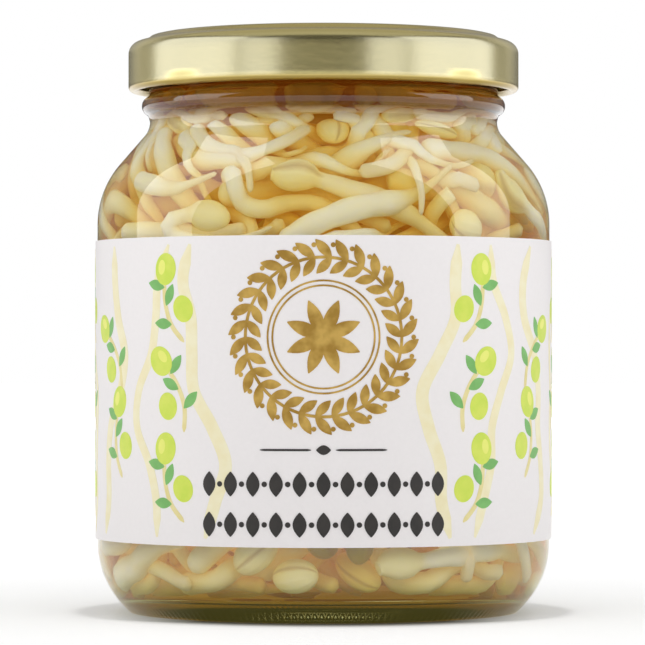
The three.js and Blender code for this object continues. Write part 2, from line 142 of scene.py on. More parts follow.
# %% Camera
CAMERA_DISTANCE = 690.0
EYE_HEIGHT = 43.6
AIM_HEIGHT = 49.7
AIM_SIDE = -0.17
PIXELS_PER_MM = 5.8
IMAGE_WIDTH = 645

camera_data = bpy.data.cameras.new("camera")
camera_data.sensor_width = 36
camera_data.lens = PIXELS_PER_MM * CAMERA_DISTANCE * camera_data.sensor_width / IMAGE_WIDTH
camera = bpy.data.objects.new("camera", camera_data)
bpy.context.scene.collection.objects.link(camera)
camera.location = Vector((AIM_SIDE, -CAMERA_DISTANCE, EYE_HEIGHT)) * MM
aim = Vector((AIM_SIDE, 0, AIM_HEIGHT)) * MM
camera.rotation_euler = (aim - camera.location).to_track_quat("-Z", "Y").to_euler()
bpy.context.scene.camera = camera
print("lens", round(camera_data.lens), "mm")

# %% [markdown]
# ## From arrays to meshes
# Every new piece is a skin over rings of points: a profile turned about an axis and a stem that
# follows a curve are the same kind of grid. Blender could spin or skin them, but whole arrays are
# faster and close their poles cleanly. Corner angles above 35 degrees stay crisp.

# %% Mesh helpers


def make_piece(name, points, faces, body, material, replaced=(), values=None, crease=35):
    """Makes an object from points in millimetres and lists of quads and triangles, on a body."""
    mesh = bpy.data.meshes.new(name)
    mesh.vertices.add(len(points))
    mesh.vertices.foreach_set("co", (np.asarray(points) * MM).astype(np.float32).ravel())
    corners = np.concatenate([f.ravel() for f in faces])
    sizes = np.concatenate([np.full(len(f), f.shape[1]) for f in faces])
    mesh.loops.add(len(corners))
    mesh.loops.foreach_set("vertex_index", corners.astype(np.int32))
    mesh.polygons.add(len(sizes))
    mesh.polygons.foreach_set("loop_start", np.concatenate([[0], np.cumsum(sizes)[:-1]]).astype(np.int32))
    mesh.update(calc_edges=True)
    mesh.shade_smooth()
    mesh.set_sharp_from_angle(angle=math.radians(crease))
    for key, numbers in (values or {}).items():
        attribute = mesh.attributes.new(key, "FLOAT", "POINT")
        attribute.data.foreach_set("value", np.asarray(numbers, dtype=np.float32))
    piece = bpy.data.objects.new(name, mesh)
    bpy.context.scene.collection.objects.link(piece)
    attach(piece, body)
    if replaced:
        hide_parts(*replaced)
    mesh.materials.append(material)
    return piece


def skin_faces(rings, sides, start=0):
    """Quads and pole triangles over rings of points that follow a first pole and end on a last pole."""
    j = np.arange(sides)
    k = (j + 1) % sides
    low = start + 1 + sides * np.arange(rings - 1)[:, None]
    quads = np.stack([low + j, low + k, low + sides + k, low + sides + j], axis=-1).reshape(-1, 4)
    first = np.stack([np.full(sides, start), start + 1 + k, start + 1 + j], axis=-1)
    top = start + 1 + sides * (rings - 1)
    last = np.stack([np.full(sides, top + sides), top + j, top + k], axis=-1)
    return quads, np.concatenate([first, last])


def turned(profile, sides=FINE, raised=None):
    """Points of a profile of (radius, height) turned about Z. Its ends lie on the axis.

    raised gives an extra radius as a function of the azimuth and the height.
    """
    profile = np.asarray(profile, dtype=float)
    azimuth = 2 * math.pi * np.arange(sides) / sides
    r, z = profile[1:-1, 0][:, None], profile[1:-1, 1][:, None]
    if raised is not None:
        r = r + raised(azimuth[None, :], z)
    r, z = np.broadcast_arrays(r, z + 0 * azimuth)
    rings = np.stack([r * np.sin(azimuth), -r * np.cos(azimuth), z], axis=-1).reshape(-1, 3)
    first, last = [[0, 0, profile[0, 1]]], [[0, 0, profile[-1, 1]]]
    return np.concatenate([first, rings, last]), skin_faces(len(profile) - 2, sides)


def arc(r, z, radius, start, end, steps):
    """Points of an arc about (r, z), between two angles in degrees."""
    a = np.radians(np.linspace(start, end, steps + 1))
    return np.stack([r + radius * np.cos(a), z + radius * np.sin(a)], axis=-1)


def smooth(t):
    """A smooth step from 0 to 1."""
    t = np.clip(t, 0, 1)
    return t * t * (3 - 2 * t)


def catmull(values, t):
    """A smooth curve through evenly spaced values, read at t."""
    padded = np.concatenate([[2 * values[0] - values[1]], values, [2 * values[-1] - values[-2]]])
    i = np.minimum(t.astype(int), len(values) - 2)
    f = t - i
    a, b, c, d = (padded[i + k] for k in range(4))
    return b + 0.5 * f * (c - a + f * (2 * a - 5 * b + 4 * c - d + f * (3 * (b - c) + d - a)))


# %% [markdown]
# ## Materials
# Each finish starts from what the real material is. One function turns a hex colour, as a colour
# picker shows it, into the linear numbers that the renderer adds up, and one adds a shader node with
# its settings and links. A node group for each finish would also work, but these trees are short.

# %% Material helpers


def linear(code):
    """An sRGB hex colour as linear red, green, blue and alpha."""
    channels = np.array([int(code[i : i + 2], 16) for i in (1, 3, 5)]) / 255
    low_part, high_part = channels / 12.92, ((channels + 0.055) / 1.055) ** 2.4
    return (*np.where(channels <= 0.04045, low_part, high_part), 1.0)


def node(tree, kind, inputs=None, output=0, **settings):
    """Adds a node. An input is a value or another node's output to link. Gives back one output."""
    made = tree.nodes.new("ShaderNode" + kind)
    for name, value in settings.items():
        setattr(made, name, value)
    for name, value in (inputs or {}).items():
        if isinstance(value, bpy.types.NodeSocket):
            tree.links.new(value, made.inputs[name])
        else:
            made.inputs[name].default_value = value
    return made.outputs[output] if made.outputs else None


def new_material(name):
    """An empty material and its node tree."""
    material = bpy.data.materials.new(name)
    material.use_nodes = True
    material.node_tree.nodes.clear()
    return material, material.node_tree


def grains(width):
    """The scale of a noise whose grains are this many millimetres wide."""
    return 1 / (width * MM)


# %% [markdown]
# ## The glass
# Soda-lime container glass has an IOR of 1.52 and a trace of iron, which shows green where the light
# travels far through it, as in the thick base. It is blown in a mould, so it is smooth but not
# optically flat: the wall ripples by a few hundredths of a millimetre. The green could be a volume.
# It is a tint on the surface here, because a tint costs nothing to render: faint on the wall, and
# olive in the foot, where the light runs along inside the glass. At the neck the tint is amber, as the
# brine behind it is seen through thick glass there. The ring it stands on is knurled.

# %% Glass material
KNURLS = 190.0  # ribs on the ring that it stands on, about one to the millimetre


def container_glass():
    """Soda-lime glass, mould-blown: clear, with slow ripples. Its foot is olive with a painted glow, its neck
    amber.
    """
    material, tree = new_material("soda_lime_glass")
    place = node(tree, "TexCoord", output="Object")
    # The ripples of a blown wall are about 22 mm long.
    ripple = node(tree, "TexNoise", {"Vector": place, "Scale": grains(22.22), "Detail": 1.0}, output="Fac")
    bump = node(tree, "Bump", {"Height": ripple, "Strength": 0.25, "Distance": 0.0004})
    x, y, z = (node(tree, "SeparateXYZ", {"Vector": place}, output=axis) for axis in "XYZ")
    foot = node(tree, "MapRange", {
        "Value": z, "From Min": 3 * MM, "From Max": 7 * MM, "To Min": 1.0, "To Max": 0.0,
    })
    # Painted light: the foot glows by a faint emission that stands for light running along inside the glass.
    painted_glow_in_foot = node(tree, "Math", {0: foot, 1: 0.2}, operation="MULTIPLY")
    colour = node(tree, "Mix", {0: foot, 6: linear("#f8fcf8"), 7: linear("#d0dcac")}, 2, data_type="RGBA")
    neck = node(tree, "MapRange", {"Value": z, "From Min": 82.5 * MM, "From Max": 86.5 * MM})
    colour = node(tree, "Mix", {0: neck, 6: colour, 7: linear("#a87c34")}, 2, data_type="RGBA")
    turn = node(tree, "Math", {0: x, 1: y}, operation="ARCTAN2")
    turn = node(tree, "Math", {0: turn, 1: KNURLS}, operation="MULTIPLY")
    wave = node(tree, "Math", {0: turn}, operation="SINE")
    ring = node(tree, "MapRange", {
        "Value": z, "From Min": 0.6 * MM, "From Max": 1.8 * MM, "To Min": 1.0, "To Max": 0.0,
    })
    wave = node(tree, "Math", {0: wave, 1: ring}, operation="MULTIPLY")
    bump = node(tree, "Bump", {"Height": wave, "Strength": 0.15, "Distance": 0.0003, "Normal": bump})
    surface = node(tree, "BsdfPrincipled", {
        "Base Color": colour, "Roughness": 0.0, "IOR": 1.52, "Transmission Weight": 1.0, "Normal": bump,
        "Emission Color": linear("#4a4822"), "Emission Strength": painted_glow_in_foot,
    })
    node(tree, "OutputMaterial", {"Surface": surface})
    return material


print("knurls", round(2 * math.pi * 31.5 / KNURLS, 2), "mm apart")

# %% [markdown]
# ## The jar
# A jar like this is pressed and blown: a pushed-up base that leaves a ring to stand on, a rounded heel,
# a straight wall for the label, a shoulder, a neck with a bead for handling the hot glass, and the
# finish with its thread. It is one closed surface, outside and inside, because glass only refracts
# rightly when it has both. The thread's four ridges are raised out of the same surface by a formula.

# %% Glass surface
THREAD_RISE = 1.5
THREAD_BEFORE = 12.0
THREAD_AFTER = 48.0
THREAD_DEPTH = 1.1
THREAD_LOW = 91.7  # middle of a ridge where it starts


def wall_profile(inset, steps, neck_steps):
    """The wall from the heel to the neck, moved inwards by a thickness."""
    heel_foot = -35.5 if inset else -47.6
    return np.concatenate([
        arc(BODY_RADIUS - HEEL_CURVE, HEEL_TOP, HEEL_CURVE - inset, heel_foot, 0, steps),
        arc(BODY_RADIUS - SHOULDER_CURVE, SHOULDER_FOOT, SHOULDER_CURVE - inset, 0, SHOULDER_LEAN, steps),
        arc(NECK_RADIUS + NECK_CURVE, NECK_FOOT, NECK_CURVE + inset, 180 + SHOULDER_LEAN, 180, neck_steps),
    ])


def thread(azimuth, z):
    """Height of the thread's ridges: each one is a rounded bar that climbs as it goes round."""
    turn = (np.degrees(azimuth) - LUG_AZIMUTH + THREAD_BEFORE) % (360 / LUGS)
    along = turn / (THREAD_BEFORE + THREAD_AFTER)
    ends = smooth(along / 0.1) * smooth((1 - along) / 0.1)
    across = np.clip(1 - ((z - THREAD_LOW - THREAD_RISE * along) / 0.85) ** 2, 0, 1)
    outside = z > 89
    return THREAD_DEPTH * ends * np.sqrt(across) * outside


def outside_profile(steps):
    """The outer surface from the middle of the base to the rim."""
    base = [[0, 2.2], [12, 2.0], [22, 1.5], [26, 1.1], [28.6, 0.55],
            [29.4, 0.18], [30, 0], [33, 0], [33.3, 0.05]]
    bead = arc(NECK_RADIUS - 0.3, BEAD_HEIGHT, 1.7, -70, 70, 12)
    finish = np.stack([np.full(36, 30.1), np.linspace(89.2, 96.3, 36)], axis=-1)
    rim = arc(28.8, RIM_TOP - 1.3, 1.3, 10, 90, 6)
    return np.concatenate([base, wall_profile(0, steps, steps), bead, finish, rim])


def inside_profile(steps):
    """The inner surface from the middle of the floor to the rim."""
    floor = [[0, 5.3], [8, 5.2], [15, 4.9], [23, 4.3], [30, 3.7], [32.4, 3.72], [33.4, 3.9]]
    mouth = [[NECK_RADIUS - GLASS, 90], [NECK_RADIUS - GLASS, 96.3], [27.7, 96.9], [28.2, 97.2]]
    return np.concatenate([floor, wall_profile(GLASS, steps, steps), mouth])


def make_jar():
    """The glass as one closed surface. The mouth has no ring where the thread rises, so it stays plain."""
    section = np.concatenate([outside_profile(20), inside_profile(16)[::-1]])
    points, faces = turned(section, raised=thread)
    print("glass rings:", len(section) - 2)
    material = container_glass()
    return make_piece("jar_of_glass", points, faces, "jar", material, ["glass_jar"], crease=60)


glass = make_jar()

# %% [markdown]
# ## The brine
# Brine bends light a little more than water, with an IOR of 1.34, and in this jar it is amber. Its
# surface reaches two tenths of a millimetre into the glass: a ray that goes in then meets the brine
# before it leaves the glass, so it bends as it does in a real jar, with no film of air between.
# The amber is a tint here, and the sprouts darken with depth, as they do in the coloured liquid.

# %% Brine
INTO_GLASS = 0.2


def brine_liquid():
    """Brine: clear, amber, index 1.34."""
    material, tree = new_material("amber_brine")
    # Light on its way out of a sprout isn't tinted again, so the sprouts stay bright.
    scattered = node(tree, "LightPath", output="Is Diffuse Ray")
    colour = node(tree, "Mix", {
        0: scattered, 6: linear("#f2e0b8"), 7: linear("#ffffff"),
    }, 2, data_type="RGBA")
    surface = node(tree, "BsdfPrincipled", {
        "Base Color": colour, "Roughness": 0.0, "IOR": 1.34,
        "Transmission Weight": 1.0, "Specular IOR Level": 0.3,
    })
    node(tree, "OutputMaterial", {"Surface": surface})
    return material


def make_brine():
    """Everything inside the glass up to the fill level, with a low meniscus at the wall."""
    side = inside_profile(24)
    side = side[side[:, 1] < BRINE_LEVEL]
    steps = np.diff(side, axis=0)
    normal = np.stack([steps[:, 1], -steps[:, 0]], axis=-1)
    normal /= np.linalg.norm(normal, axis=1, keepdims=True)
    normal = np.concatenate([normal[:1], (normal[1:] + normal[:-1]) / 2, normal[-1:]])
    side = side + INTO_GLASS * normal
    side[0, 0] = 0
    edge = NECK_RADIUS - GLASS + INTO_GLASS
    meniscus = np.array([[edge, 0], [edge - 0.5, -0.35], [edge - 1.6, -0.6], [0, -0.7]])
    points, faces = turned(np.concatenate([side, meniscus + [0, BRINE_LEVEL]]))
    return make_piece("brine_fill", points, faces, "jar", brine_liquid(), ["brine"], crease=60)


brine = make_brine()

# %% [markdown]
# Starch from the sprouts clouds the brine, so nothing shows through the whole jar: between the
# sprouts the eye ends on a golden murk, which the light from outside makes glow. Real fog inside
# glass takes long to render. A soft-looking body in the middle of the liquid gives the same colour with a
# painted glow.

# %% Cloudy middle of the brine
CLOUD = [(0, 7), (20, 7.5), (24, 12), (24, 62), (22, 72),
         (20, 80), (23, 85), (23.5, 88.5), (21, 90), (0, 90.3)]


def cloudy_brine_painted_glow():
    """Starchy brine as a painted glow, for the light it scatters: deep amber in the neck, golden below."""
    material, tree = new_material("cloudy_brine_painted_glow")
    place = node(tree, "TexCoord", output="Object")
    # Starch drifts in clouds as wide as the gaps between the sprouts, some 18 mm.
    cloud = node(tree, "TexNoise", {"Vector": place, "Scale": grains(18.18), "Detail": 2.0}, output="Fac")
    spread = node(tree, "MapRange", {"Value": cloud, "From Min": 0.35, "From Max": 0.65})
    z = node(tree, "SeparateXYZ", {"Vector": place}, output="Z")
    high = node(tree, "MapRange", {"Value": z, "From Min": 74 * MM, "From Max": 84 * MM})
    golden = node(tree, "Mix", {0: spread, 6: linear("#b98a2c"), 7: linear("#9c6c14")}, 2, data_type="RGBA")
    painted_glow = node(tree, "Mix", {0: high, 6: golden, 7: linear("#96620e")}, 2, data_type="RGBA")
    # Painted light: the body shines by its own emission, which stands for light that the murky brine
    # scatters.
    surface = node(tree, "BsdfPrincipled", {
        "Base Color": linear("#8a6420"), "Roughness": 0.9, "Specular IOR Level": 0.0,
        "Emission Color": painted_glow, "Emission Strength": 0.7,
    })
    node(tree, "OutputMaterial", {"Surface": surface})
    return material


def make_cloud():
    """A turned body inside the sprouts, smoothed along its profile."""
    profile = np.array(CLOUD, dtype=float)
    t = np.linspace(0, len(profile) - 1, 49)
    line = np.stack([catmull(profile[:, c], t) for c in (0, 1)], axis=-1)
    line[[0, -1], 0] = 0
    points, faces = turned(np.maximum(line, 0), sides=96)
    return make_piece("cloudy_middle_painted_glow", points, faces, "jar", cloudy_brine_painted_glow())


make_cloud()

# %% [markdown]
# ## The lid
# The cap is tinplate, 0.2 mm of steel, lacquered gold and pressed: a raised ring for stacking, a lower
# panel with a safety button, a skirt, and a foot curled inwards and pinched into four lugs. The lacquer
# over brushed tin gives a satin gold. It is darker in the curl and on the top, as painted shade.
# The skirt could be a plain cylinder, but its rounded shoulder and its curl are what catch the light, so
# the whole section is drawn. Its sheet is thicker than the real one, as the solid's is.

# %% Lid
SHEET = 0.5
CORNER = 2.1  # radius of the shoulder
CURL = 0.9  # radius of the curled foot
PANEL = 98.25  # height of the lower panel
LUG_REACH = 9.0  # degrees on either side of a lug's middle


def gold_lacquered_tinplate():
    """Tinplate under a clear gold lacquer: a satin metal with very fine rolling marks."""
    material, tree = new_material("gold_lacquered_tinplate")
    place = node(tree, "TexCoord", output="Object")
    # Rolling marks are a twentieth of a millimetre wide: too fine to show, so they are drawn at 1.1 mm.
    grain = node(tree, "TexNoise", {"Vector": place, "Scale": grains(1.11), "Detail": 3.0}, output="Fac")
    # The lacquer flows into patches of some 17 mm.
    cloud = node(tree, "TexNoise", {"Vector": place, "Scale": grains(16.67), "Detail": 2.0}, output="Fac")
    colour = node(tree, "Mix", {0: cloud, 6: linear("#dccf92"), 7: linear("#d6c888")}, 2, data_type="RGBA")
    z = node(tree, "SeparateXYZ", {"Vector": place}, output="Z")
    # Painted shade: the gold darkens in the curl of the foot and on the top.
    curl = node(tree, "MapRange", {"Value": z, "From Min": 90.6 * MM, "From Max": 89.9 * MM})
    top = node(tree, "MapRange", {"Value": z, "From Min": 97.0 * MM, "From Max": 97.9 * MM})
    colour = node(tree, "Mix", {0: curl, 6: colour, 7: linear("#a08a4a")}, 2, data_type="RGBA")
    colour = node(tree, "Mix", {0: top, 6: colour, 7: linear("#bcaa62")}, 2, data_type="RGBA")
    rough = node(tree, "MapRange", {"Value": cloud, "To Min": 0.2, "To Max": 0.27})
    bump = node(tree, "Bump", {"Height": grain, "Strength": 0.06, "Distance": 0.0002})
    surface = node(tree, "BsdfPrincipled", {
        "Base Color": colour, "Metallic": 1.0, "Roughness": rough, "Normal": bump,
        "Coat Weight": 0.1, "Coat Roughness": 0.12,
    })
    node(tree, "OutputMaterial", {"Surface": surface})
    return material


def lug_pinch(azimuth, z):
    """How far the foot is pressed in at each lug, from 0 to 1: smooth steps in azimuth and height."""
    turn = (np.degrees(azimuth) - LUG_AZIMUTH + 180 / LUGS) % (360 / LUGS) - 180 / LUGS
    return smooth(1 - np.abs(turn) / LUG_REACH) * smooth((LID_FOOT + 2.2 - z) / 1.2)


def make_lid():
    """The pressed sheet as one closed section, turned, then dented at the lugs."""
    top = [[0, 97.75], [5, 97.78], [7.3, 97.88], [8.2, 98.1], [9.2, PANEL], [16, PANEL], [23.2, PANEL],
           [24.4, 98.34], [25.6, 98.6], [26.6, 98.9], [27.3, LID_TOP], [28.2, LID_TOP], [29.1, LID_TOP],
           [29.8, 98.84], [30.3, 98.45], [30.8, 98.12]]
    corner = arc(LID_RADIUS - CORNER, 95.85, CORNER, 88, 0, 14)
    skirt = np.stack([np.full(9, LID_RADIUS), np.linspace(95, 91, 9)], axis=-1)
    curl = arc(LID_RADIUS - CURL, LID_FOOT + CURL, CURL, 0, -200, 14)
    inside = [[32.2, 90.9], [32.8, 91.2], [33.1, 91.8], [33.1, 93], [33.1, 95]]
    inner_corner = arc(LID_RADIUS - CORNER, 95.85, CORNER - SHEET, 0, 88, 8)
    under = [[30.5, 97.55], [29.9, 98.1], [29.3, 98.44], [28.8, 98.5], [27.5, 98.5], [26.4, 98.25],
             [25.4, 97.95], [23.2, 97.75], [9.3, 97.75], [7.8, 97.4], [5, 97.28], [0, 97.25]]
    outline = np.concatenate([top, corner, skirt, curl, inside, inner_corner, under])[::-1]
    points, faces = turned(outline, sides=288)
    radius = np.hypot(points[:, 0], points[:, 1])
    azimuth = np.arctan2(points[:, 0], -points[:, 1])
    pinch = lug_pinch(azimuth, points[:, 2])
    curled_in = (radius < 32.9) & (radius > 31.3) & (points[:, 2] < 91)
    skirt_dent = 0.368 * np.clip((radius - 31.2) / 2.4, 0, 1)
    dent = pinch * np.where(curled_in, 1.1, skirt_dent)
    points[:, :2] *= (1 - dent / np.maximum(radius, 1))[:, None]
    return make_piece(
        "lid_of_gold_tinplate", points, faces, "lid", gold_lacquered_tinplate(), ["lid"],
        crease=50,
    )


lid = make_lid()

# %% [markdown]
# ## The seal in the lid
# A soft compound is poured into the lid's channel and cured, and the rim of the glass prints a groove
# into it. It is hidden while the lid is on, so a plain turned ring with a rounded section will do.

# %% Seal
SEAL_RADIUS, SEAL_HEIGHT = 28.25, 97.42
SEAL_HALF, SEAL_BOW = 1.5, 0.84  # half the ring's width, and its rise


def sealing_compound():
    """Cured plastisol: off-white, dull, slightly pitted."""
    material, tree = new_material("cured_plastisol")
    place = node(tree, "TexCoord", output="Object")
    # Its pits are a tenth of a millimetre wide, drawn at 1.4 mm.
    pits = node(tree, "TexNoise", {"Vector": place, "Scale": grains(1.43), "Detail": 2.0}, output="Fac")
    bump = node(tree, "Bump", {"Height": pits, "Strength": 0.2, "Distance": 0.0002})
    surface = node(tree, "BsdfPrincipled", {
        "Base Color": linear("#dcd6c6"), "Roughness": 0.55, "Normal": bump,
    })
    node(tree, "OutputMaterial", {"Surface": surface})
    return material


def make_seal():
    """A ring whose section is a low bow over a flat foot."""
    bow = arc(0, 0, 1, 0, 180, 16) * [SEAL_HALF, SEAL_BOW] + [SEAL_RADIUS, SEAL_HEIGHT]
    azimuth = 2 * math.pi * np.arange(FINE) / FINE
    r, z = bow[:, 0][:, None], bow[:, 1][:, None] + 0 * azimuth
    points = np.stack([r * np.sin(azimuth), -r * np.cos(azimuth), z], axis=-1).reshape(-1, 3)
    count = len(bow)
    i, j = np.arange(count)[:, None], np.arange(FINE)[None, :]
    k, n = (j + 1) % FINE, (i + 1) % count
    quads = np.stack([i * FINE + j, i * FINE + k, n * FINE + k, n * FINE + j], axis=-1).reshape(-1, 4)
    return make_piece(
        "seal_in_lid", points, [quads], "lid", sealing_compound(), ["lid_gasket"],
    )


make_seal()

# %% [markdown]
# ## The label
# The label is one sheet of coated paper, glued round the jar, whose end laps over its start at the
# back. It is a grid in angle and height with a real thickness, so its cut edges show. Coated paper is
# white with a soft gloss; the fibres are too fine to see from here, but they keep the gloss from
# looking like plastic.

# %% Label paper
LABEL_BACK = 180.0  # azimuth where the label starts
LAP_ANGLE = 9.0  # degrees past a whole turn


def coated_paper():
    """Coated label paper: cool white, semi-gloss, with a faint fibre texture."""
    material, tree = new_material("coated_paper")
    place = node(tree, "TexCoord", output="Object")
    # Paper fibres are a fiftieth of a millimetre thick, drawn at 0.67 mm.
    fibre = node(tree, "TexNoise", {"Vector": place, "Scale": grains(0.667), "Detail": 4.0}, output="Fac")
    # Glued paper cockles in waves of some 14 mm.
    cockle = node(tree, "TexNoise", {"Vector": place, "Scale": grains(14.29), "Detail": 1.0}, output="Fac")
    colour = node(tree, "Mix", {0: fibre, 6: linear("#f3efef"), 7: linear("#eeeaea")}, 2, data_type="RGBA")
    fine = node(tree, "Bump", {"Height": fibre, "Strength": 0.08, "Distance": 0.0001})
    bump = node(tree, "Bump", {"Height": cockle, "Strength": 0.1, "Distance": 0.0004, "Normal": fine})
    surface = node(tree, "BsdfPrincipled", {
        "Base Color": colour, "Roughness": 0.42, "Specular IOR Level": 0.4, "Normal": bump,
    })
    node(tree, "OutputMaterial", {"Surface": surface})
    return material


def make_label():
    """A strip whose section, in angle and radius, is closed: out along the paper and back inside."""
    inner = BODY_RADIUS + LABEL_GAP
    steps = 240
    edge = 0.04  # rings this near the cut edges keep them crisp
    angle = np.linspace(0, 360 + LAP_ANGLE, steps)
    lift = LAP * smooth((angle - 360) / 1.5)
    outer_line = inner + LABEL_THICKNESS + lift
    inner_line = np.where(angle > 360, inner + lift + 0.02, inner)
    heights = np.array([
        LABEL_LOW, LABEL_LOW + edge, *np.linspace(LABEL_LOW + 1, LABEL_HIGH - 1, 20),
        LABEL_HIGH - edge, LABEL_HIGH,
    ])
    a = np.radians(np.concatenate([angle, angle[::-1]]) + LABEL_BACK)
    r = np.concatenate([outer_line, inner_line[::-1]])
    rings = np.stack([
        np.broadcast_to(r * np.sin(a), (len(heights), len(a))),
        np.broadcast_to(-r * np.cos(a), (len(heights), len(a))),
        np.broadcast_to(heights[:, None], (len(heights), len(a))),
    ], axis=-1).reshape(-1, 3)
    sides = 2 * steps
    j = np.arange(sides)
    k = (j + 1) % sides
    start = sides * np.arange(len(heights) - 1)[:, None]
    walls = np.stack([start + j, start + k, start + sides + k, start + sides + j], axis=-1).reshape(-1, 4)
    m = np.arange(steps - 1)
    foot = np.stack([m, sides - 1 - m, sides - 2 - m, m + 1], axis=-1)
    head = foot[:, ::-1] + sides * (len(heights) - 1)
    return make_piece(
        "label_sheet", rings, [walls, foot, head], "jar", coated_paper(), ["label"], crease=40,
    )


label = make_label()

# %% [markdown]
# ## The printing
# The print is a generic kitchen pattern in the colours of the real one: a gold wreath, two dark
# ornamental rows, pale bands and sprigs with lime berries. An image would be simpler, but plates of ink
# stay crisp at any size. Each spot of ink is a thin plate, laid on the paper by one rule: across is an
# arc length round the jar, up is the height. A plate is a grid of rows and columns between its edges,
# fine enough to follow the curve of the paper.

# %% Print helpers
INK = 0.03  # how far a plate of ink stands out
PAPER = BODY_RADIUS + LABEL_GAP + LABEL_THICKNESS
LAYERS = ["ribbon", "stem", "green", "lime", "yellow", "gold", "charcoal"]  # in the order of printing
plates = {}  # for each ink, the points and faces of its plates


def wrapped(x, z, out):
    """A flat place (x round the jar from the front, z up) on the paper, raised by out."""
    a = x / PAPER
    r = PAPER + out
    return np.stack([r * np.sin(a), -r * np.cos(a), z + 0 * a], axis=-1)


def add_plate(ink, x, z):
    """A closed plate over a grid: rows run across it, columns along it."""
    rows, columns = x.shape
    top = wrapped(x, z, INK * (1 + 0.3 * LAYERS.index(ink))).reshape(-1, 3)
    under = wrapped(x, z, -INK).reshape(-1, 3)
    i, j = np.arange(rows - 1)[:, None], np.arange(columns - 1)[None, :]
    corner = i * columns + j
    cell = np.stack([corner, corner + 1, corner + columns + 1, corner + columns], axis=-1).reshape(-1, 4)
    size = rows * columns
    edge = np.concatenate([
        np.arange(columns), columns * np.arange(1, rows) + columns - 1,
        size - 2 - np.arange(columns - 1), columns * np.arange(rows - 2, 0, -1),
    ])
    after = np.roll(edge, -1)
    rim = np.stack([after, edge, edge + size, after + size], axis=-1)
    faces = np.concatenate([cell, cell[:, ::-1] + size, rim])
    plates.setdefault(ink, []).append((np.concatenate([top, under]), faces))


def placed(x, z, u, v, angle):
    """Flat offsets u and v, turned by an angle in degrees and moved to (x, z)."""
    a = math.radians(angle)
    return x + u * math.cos(a) - v * math.sin(a), z + u * math.sin(a) + v * math.cos(a)


def leaf(ink, x, z, length, width, angle, rows=9):
    """A pointed leaf: its half width follows sin(pi t) to the power 0.8 along its length."""
    t = np.linspace(0, 1, rows)[:, None]
    across = np.linspace(-1, 1, 3)[None, :]
    half = 0.5 * width * np.sin(math.pi * np.clip(t, 0.012, 0.988)) ** 0.8 * across
    add_plate(ink, *placed(x, z, length * t + 0 * across, half, angle))


def ring(ink, x, z, radius, width, columns=73):
    """A plain ring, as a strip bent into a circle with its ends together."""
    t = np.linspace(0, 2 * math.pi, columns)[None, :]
    r = radius + width * np.array([[-0.5], [0.5]])
    add_plate(ink, x + r * np.cos(t), z + r * np.sin(t))


def disc(ink, x, z, wide, tall, angle=0.0, columns=21):
    """An oval spot: each column is as tall as the cosine of its place across says."""
    t = np.linspace(-math.pi / 2, math.pi / 2, columns)[None, :]
    across = np.linspace(-1, 1, 5)[:, None]
    u = 0.5 * wide * np.sin(t) + 0 * across
    v = 0.5 * tall * np.clip(np.cos(t), 0.02, 1) * across
    add_plate(ink, *placed(x, z, u, v, angle))


def stroke(ink, points, width):
    """A line of ink of a given width along a smooth curve through a few points."""
    points = np.asarray(points, dtype=float)
    t = np.linspace(0, len(points) - 1, 12 * (len(points) - 1) + 1)
    x, z = (catmull(points[:, c], t) for c in (0, 1))
    dx, dz = np.gradient(x), np.gradient(z)
    size = np.hypot(dx, dz)
    taper = 0.5 * width * np.clip(4 * np.sin(math.pi * np.linspace(0.02, 0.98, len(t))), 0, 1)
    across = np.array([[1], [0], [-1]]) * taper
    add_plate(ink, x - across * dz / size, z + across * dx / size)


# %% Print layout
WREATH_HEIGHT = 47.0
WREATH_RADIUS = 13.0
WREATH_LEAVES = 30  # pairs
RULE_HEIGHT = 28.6
ROW_HEIGHTS = (23.0, 16.4)
LOZENGES, LOZENGE_STEP = 11, 3.9
RIBBONS = (21.0, 31.5, 44, 57, 70, 83, 96, 109)  # arc lengths from the front
SPRIG_LOW, SPRIG_STEP, SPRIG_STAGGER = 16.6, 14.8, 7.0
SPRIG_REACH = 16.5  # height of a sprig: one that would pass the paper's edge is left out


def draw_wreath():
    """A wreath of gold leaves in pairs round a fine double ring."""
    ring("gold", 0, WREATH_HEIGHT, WREATH_RADIUS, 0.5)
    ring("gold", 0, WREATH_HEIGHT, 9.2, 0.3)
    ring("gold", 0, WREATH_HEIGHT, 8.4, 0.3)
    for i in range(WREATH_LEAVES):
        turn = 360 / WREATH_LEAVES * i
        x, z = placed(0, WREATH_HEIGHT, WREATH_RADIUS, 0, turn)
        leaf("gold", x, z, 4.0, 1.7, turn + 48)
        leaf("gold", x, z, 3.6, 1.6, turn + 142)
        disc("gold", *placed(0, WREATH_HEIGHT, 1.16 * WREATH_RADIUS, 0, turn), 0.8, 0.8)
    for i in range(8):
        leaf("gold", 0, WREATH_HEIGHT, 6.4, 2.3, 45 * i + 22.5)
    disc("gold", 0, WREATH_HEIGHT, 2.2, 2.2)


def draw_rows():
    """Fine rules and two ornamental rows of lozenges and dots."""
    for side in (-1, 1):
        stroke("charcoal", [[side * x, RULE_HEIGHT] for x in (2.0, 6, 10.5)], 0.35)
    leaf("charcoal", -1.2, RULE_HEIGHT, 2.4, 1.6, 0)
    for height in ROW_HEIGHTS:
        for i in range(LOZENGES):
            x = (i - (LOZENGES - 1) / 2) * LOZENGE_STEP
            leaf("charcoal", x, height - 2.0, 4.0, 2.3, 90)
            if i < LOZENGES - 1:
                disc("charcoal", x + LOZENGE_STEP / 2, height, 0.9, 0.9)


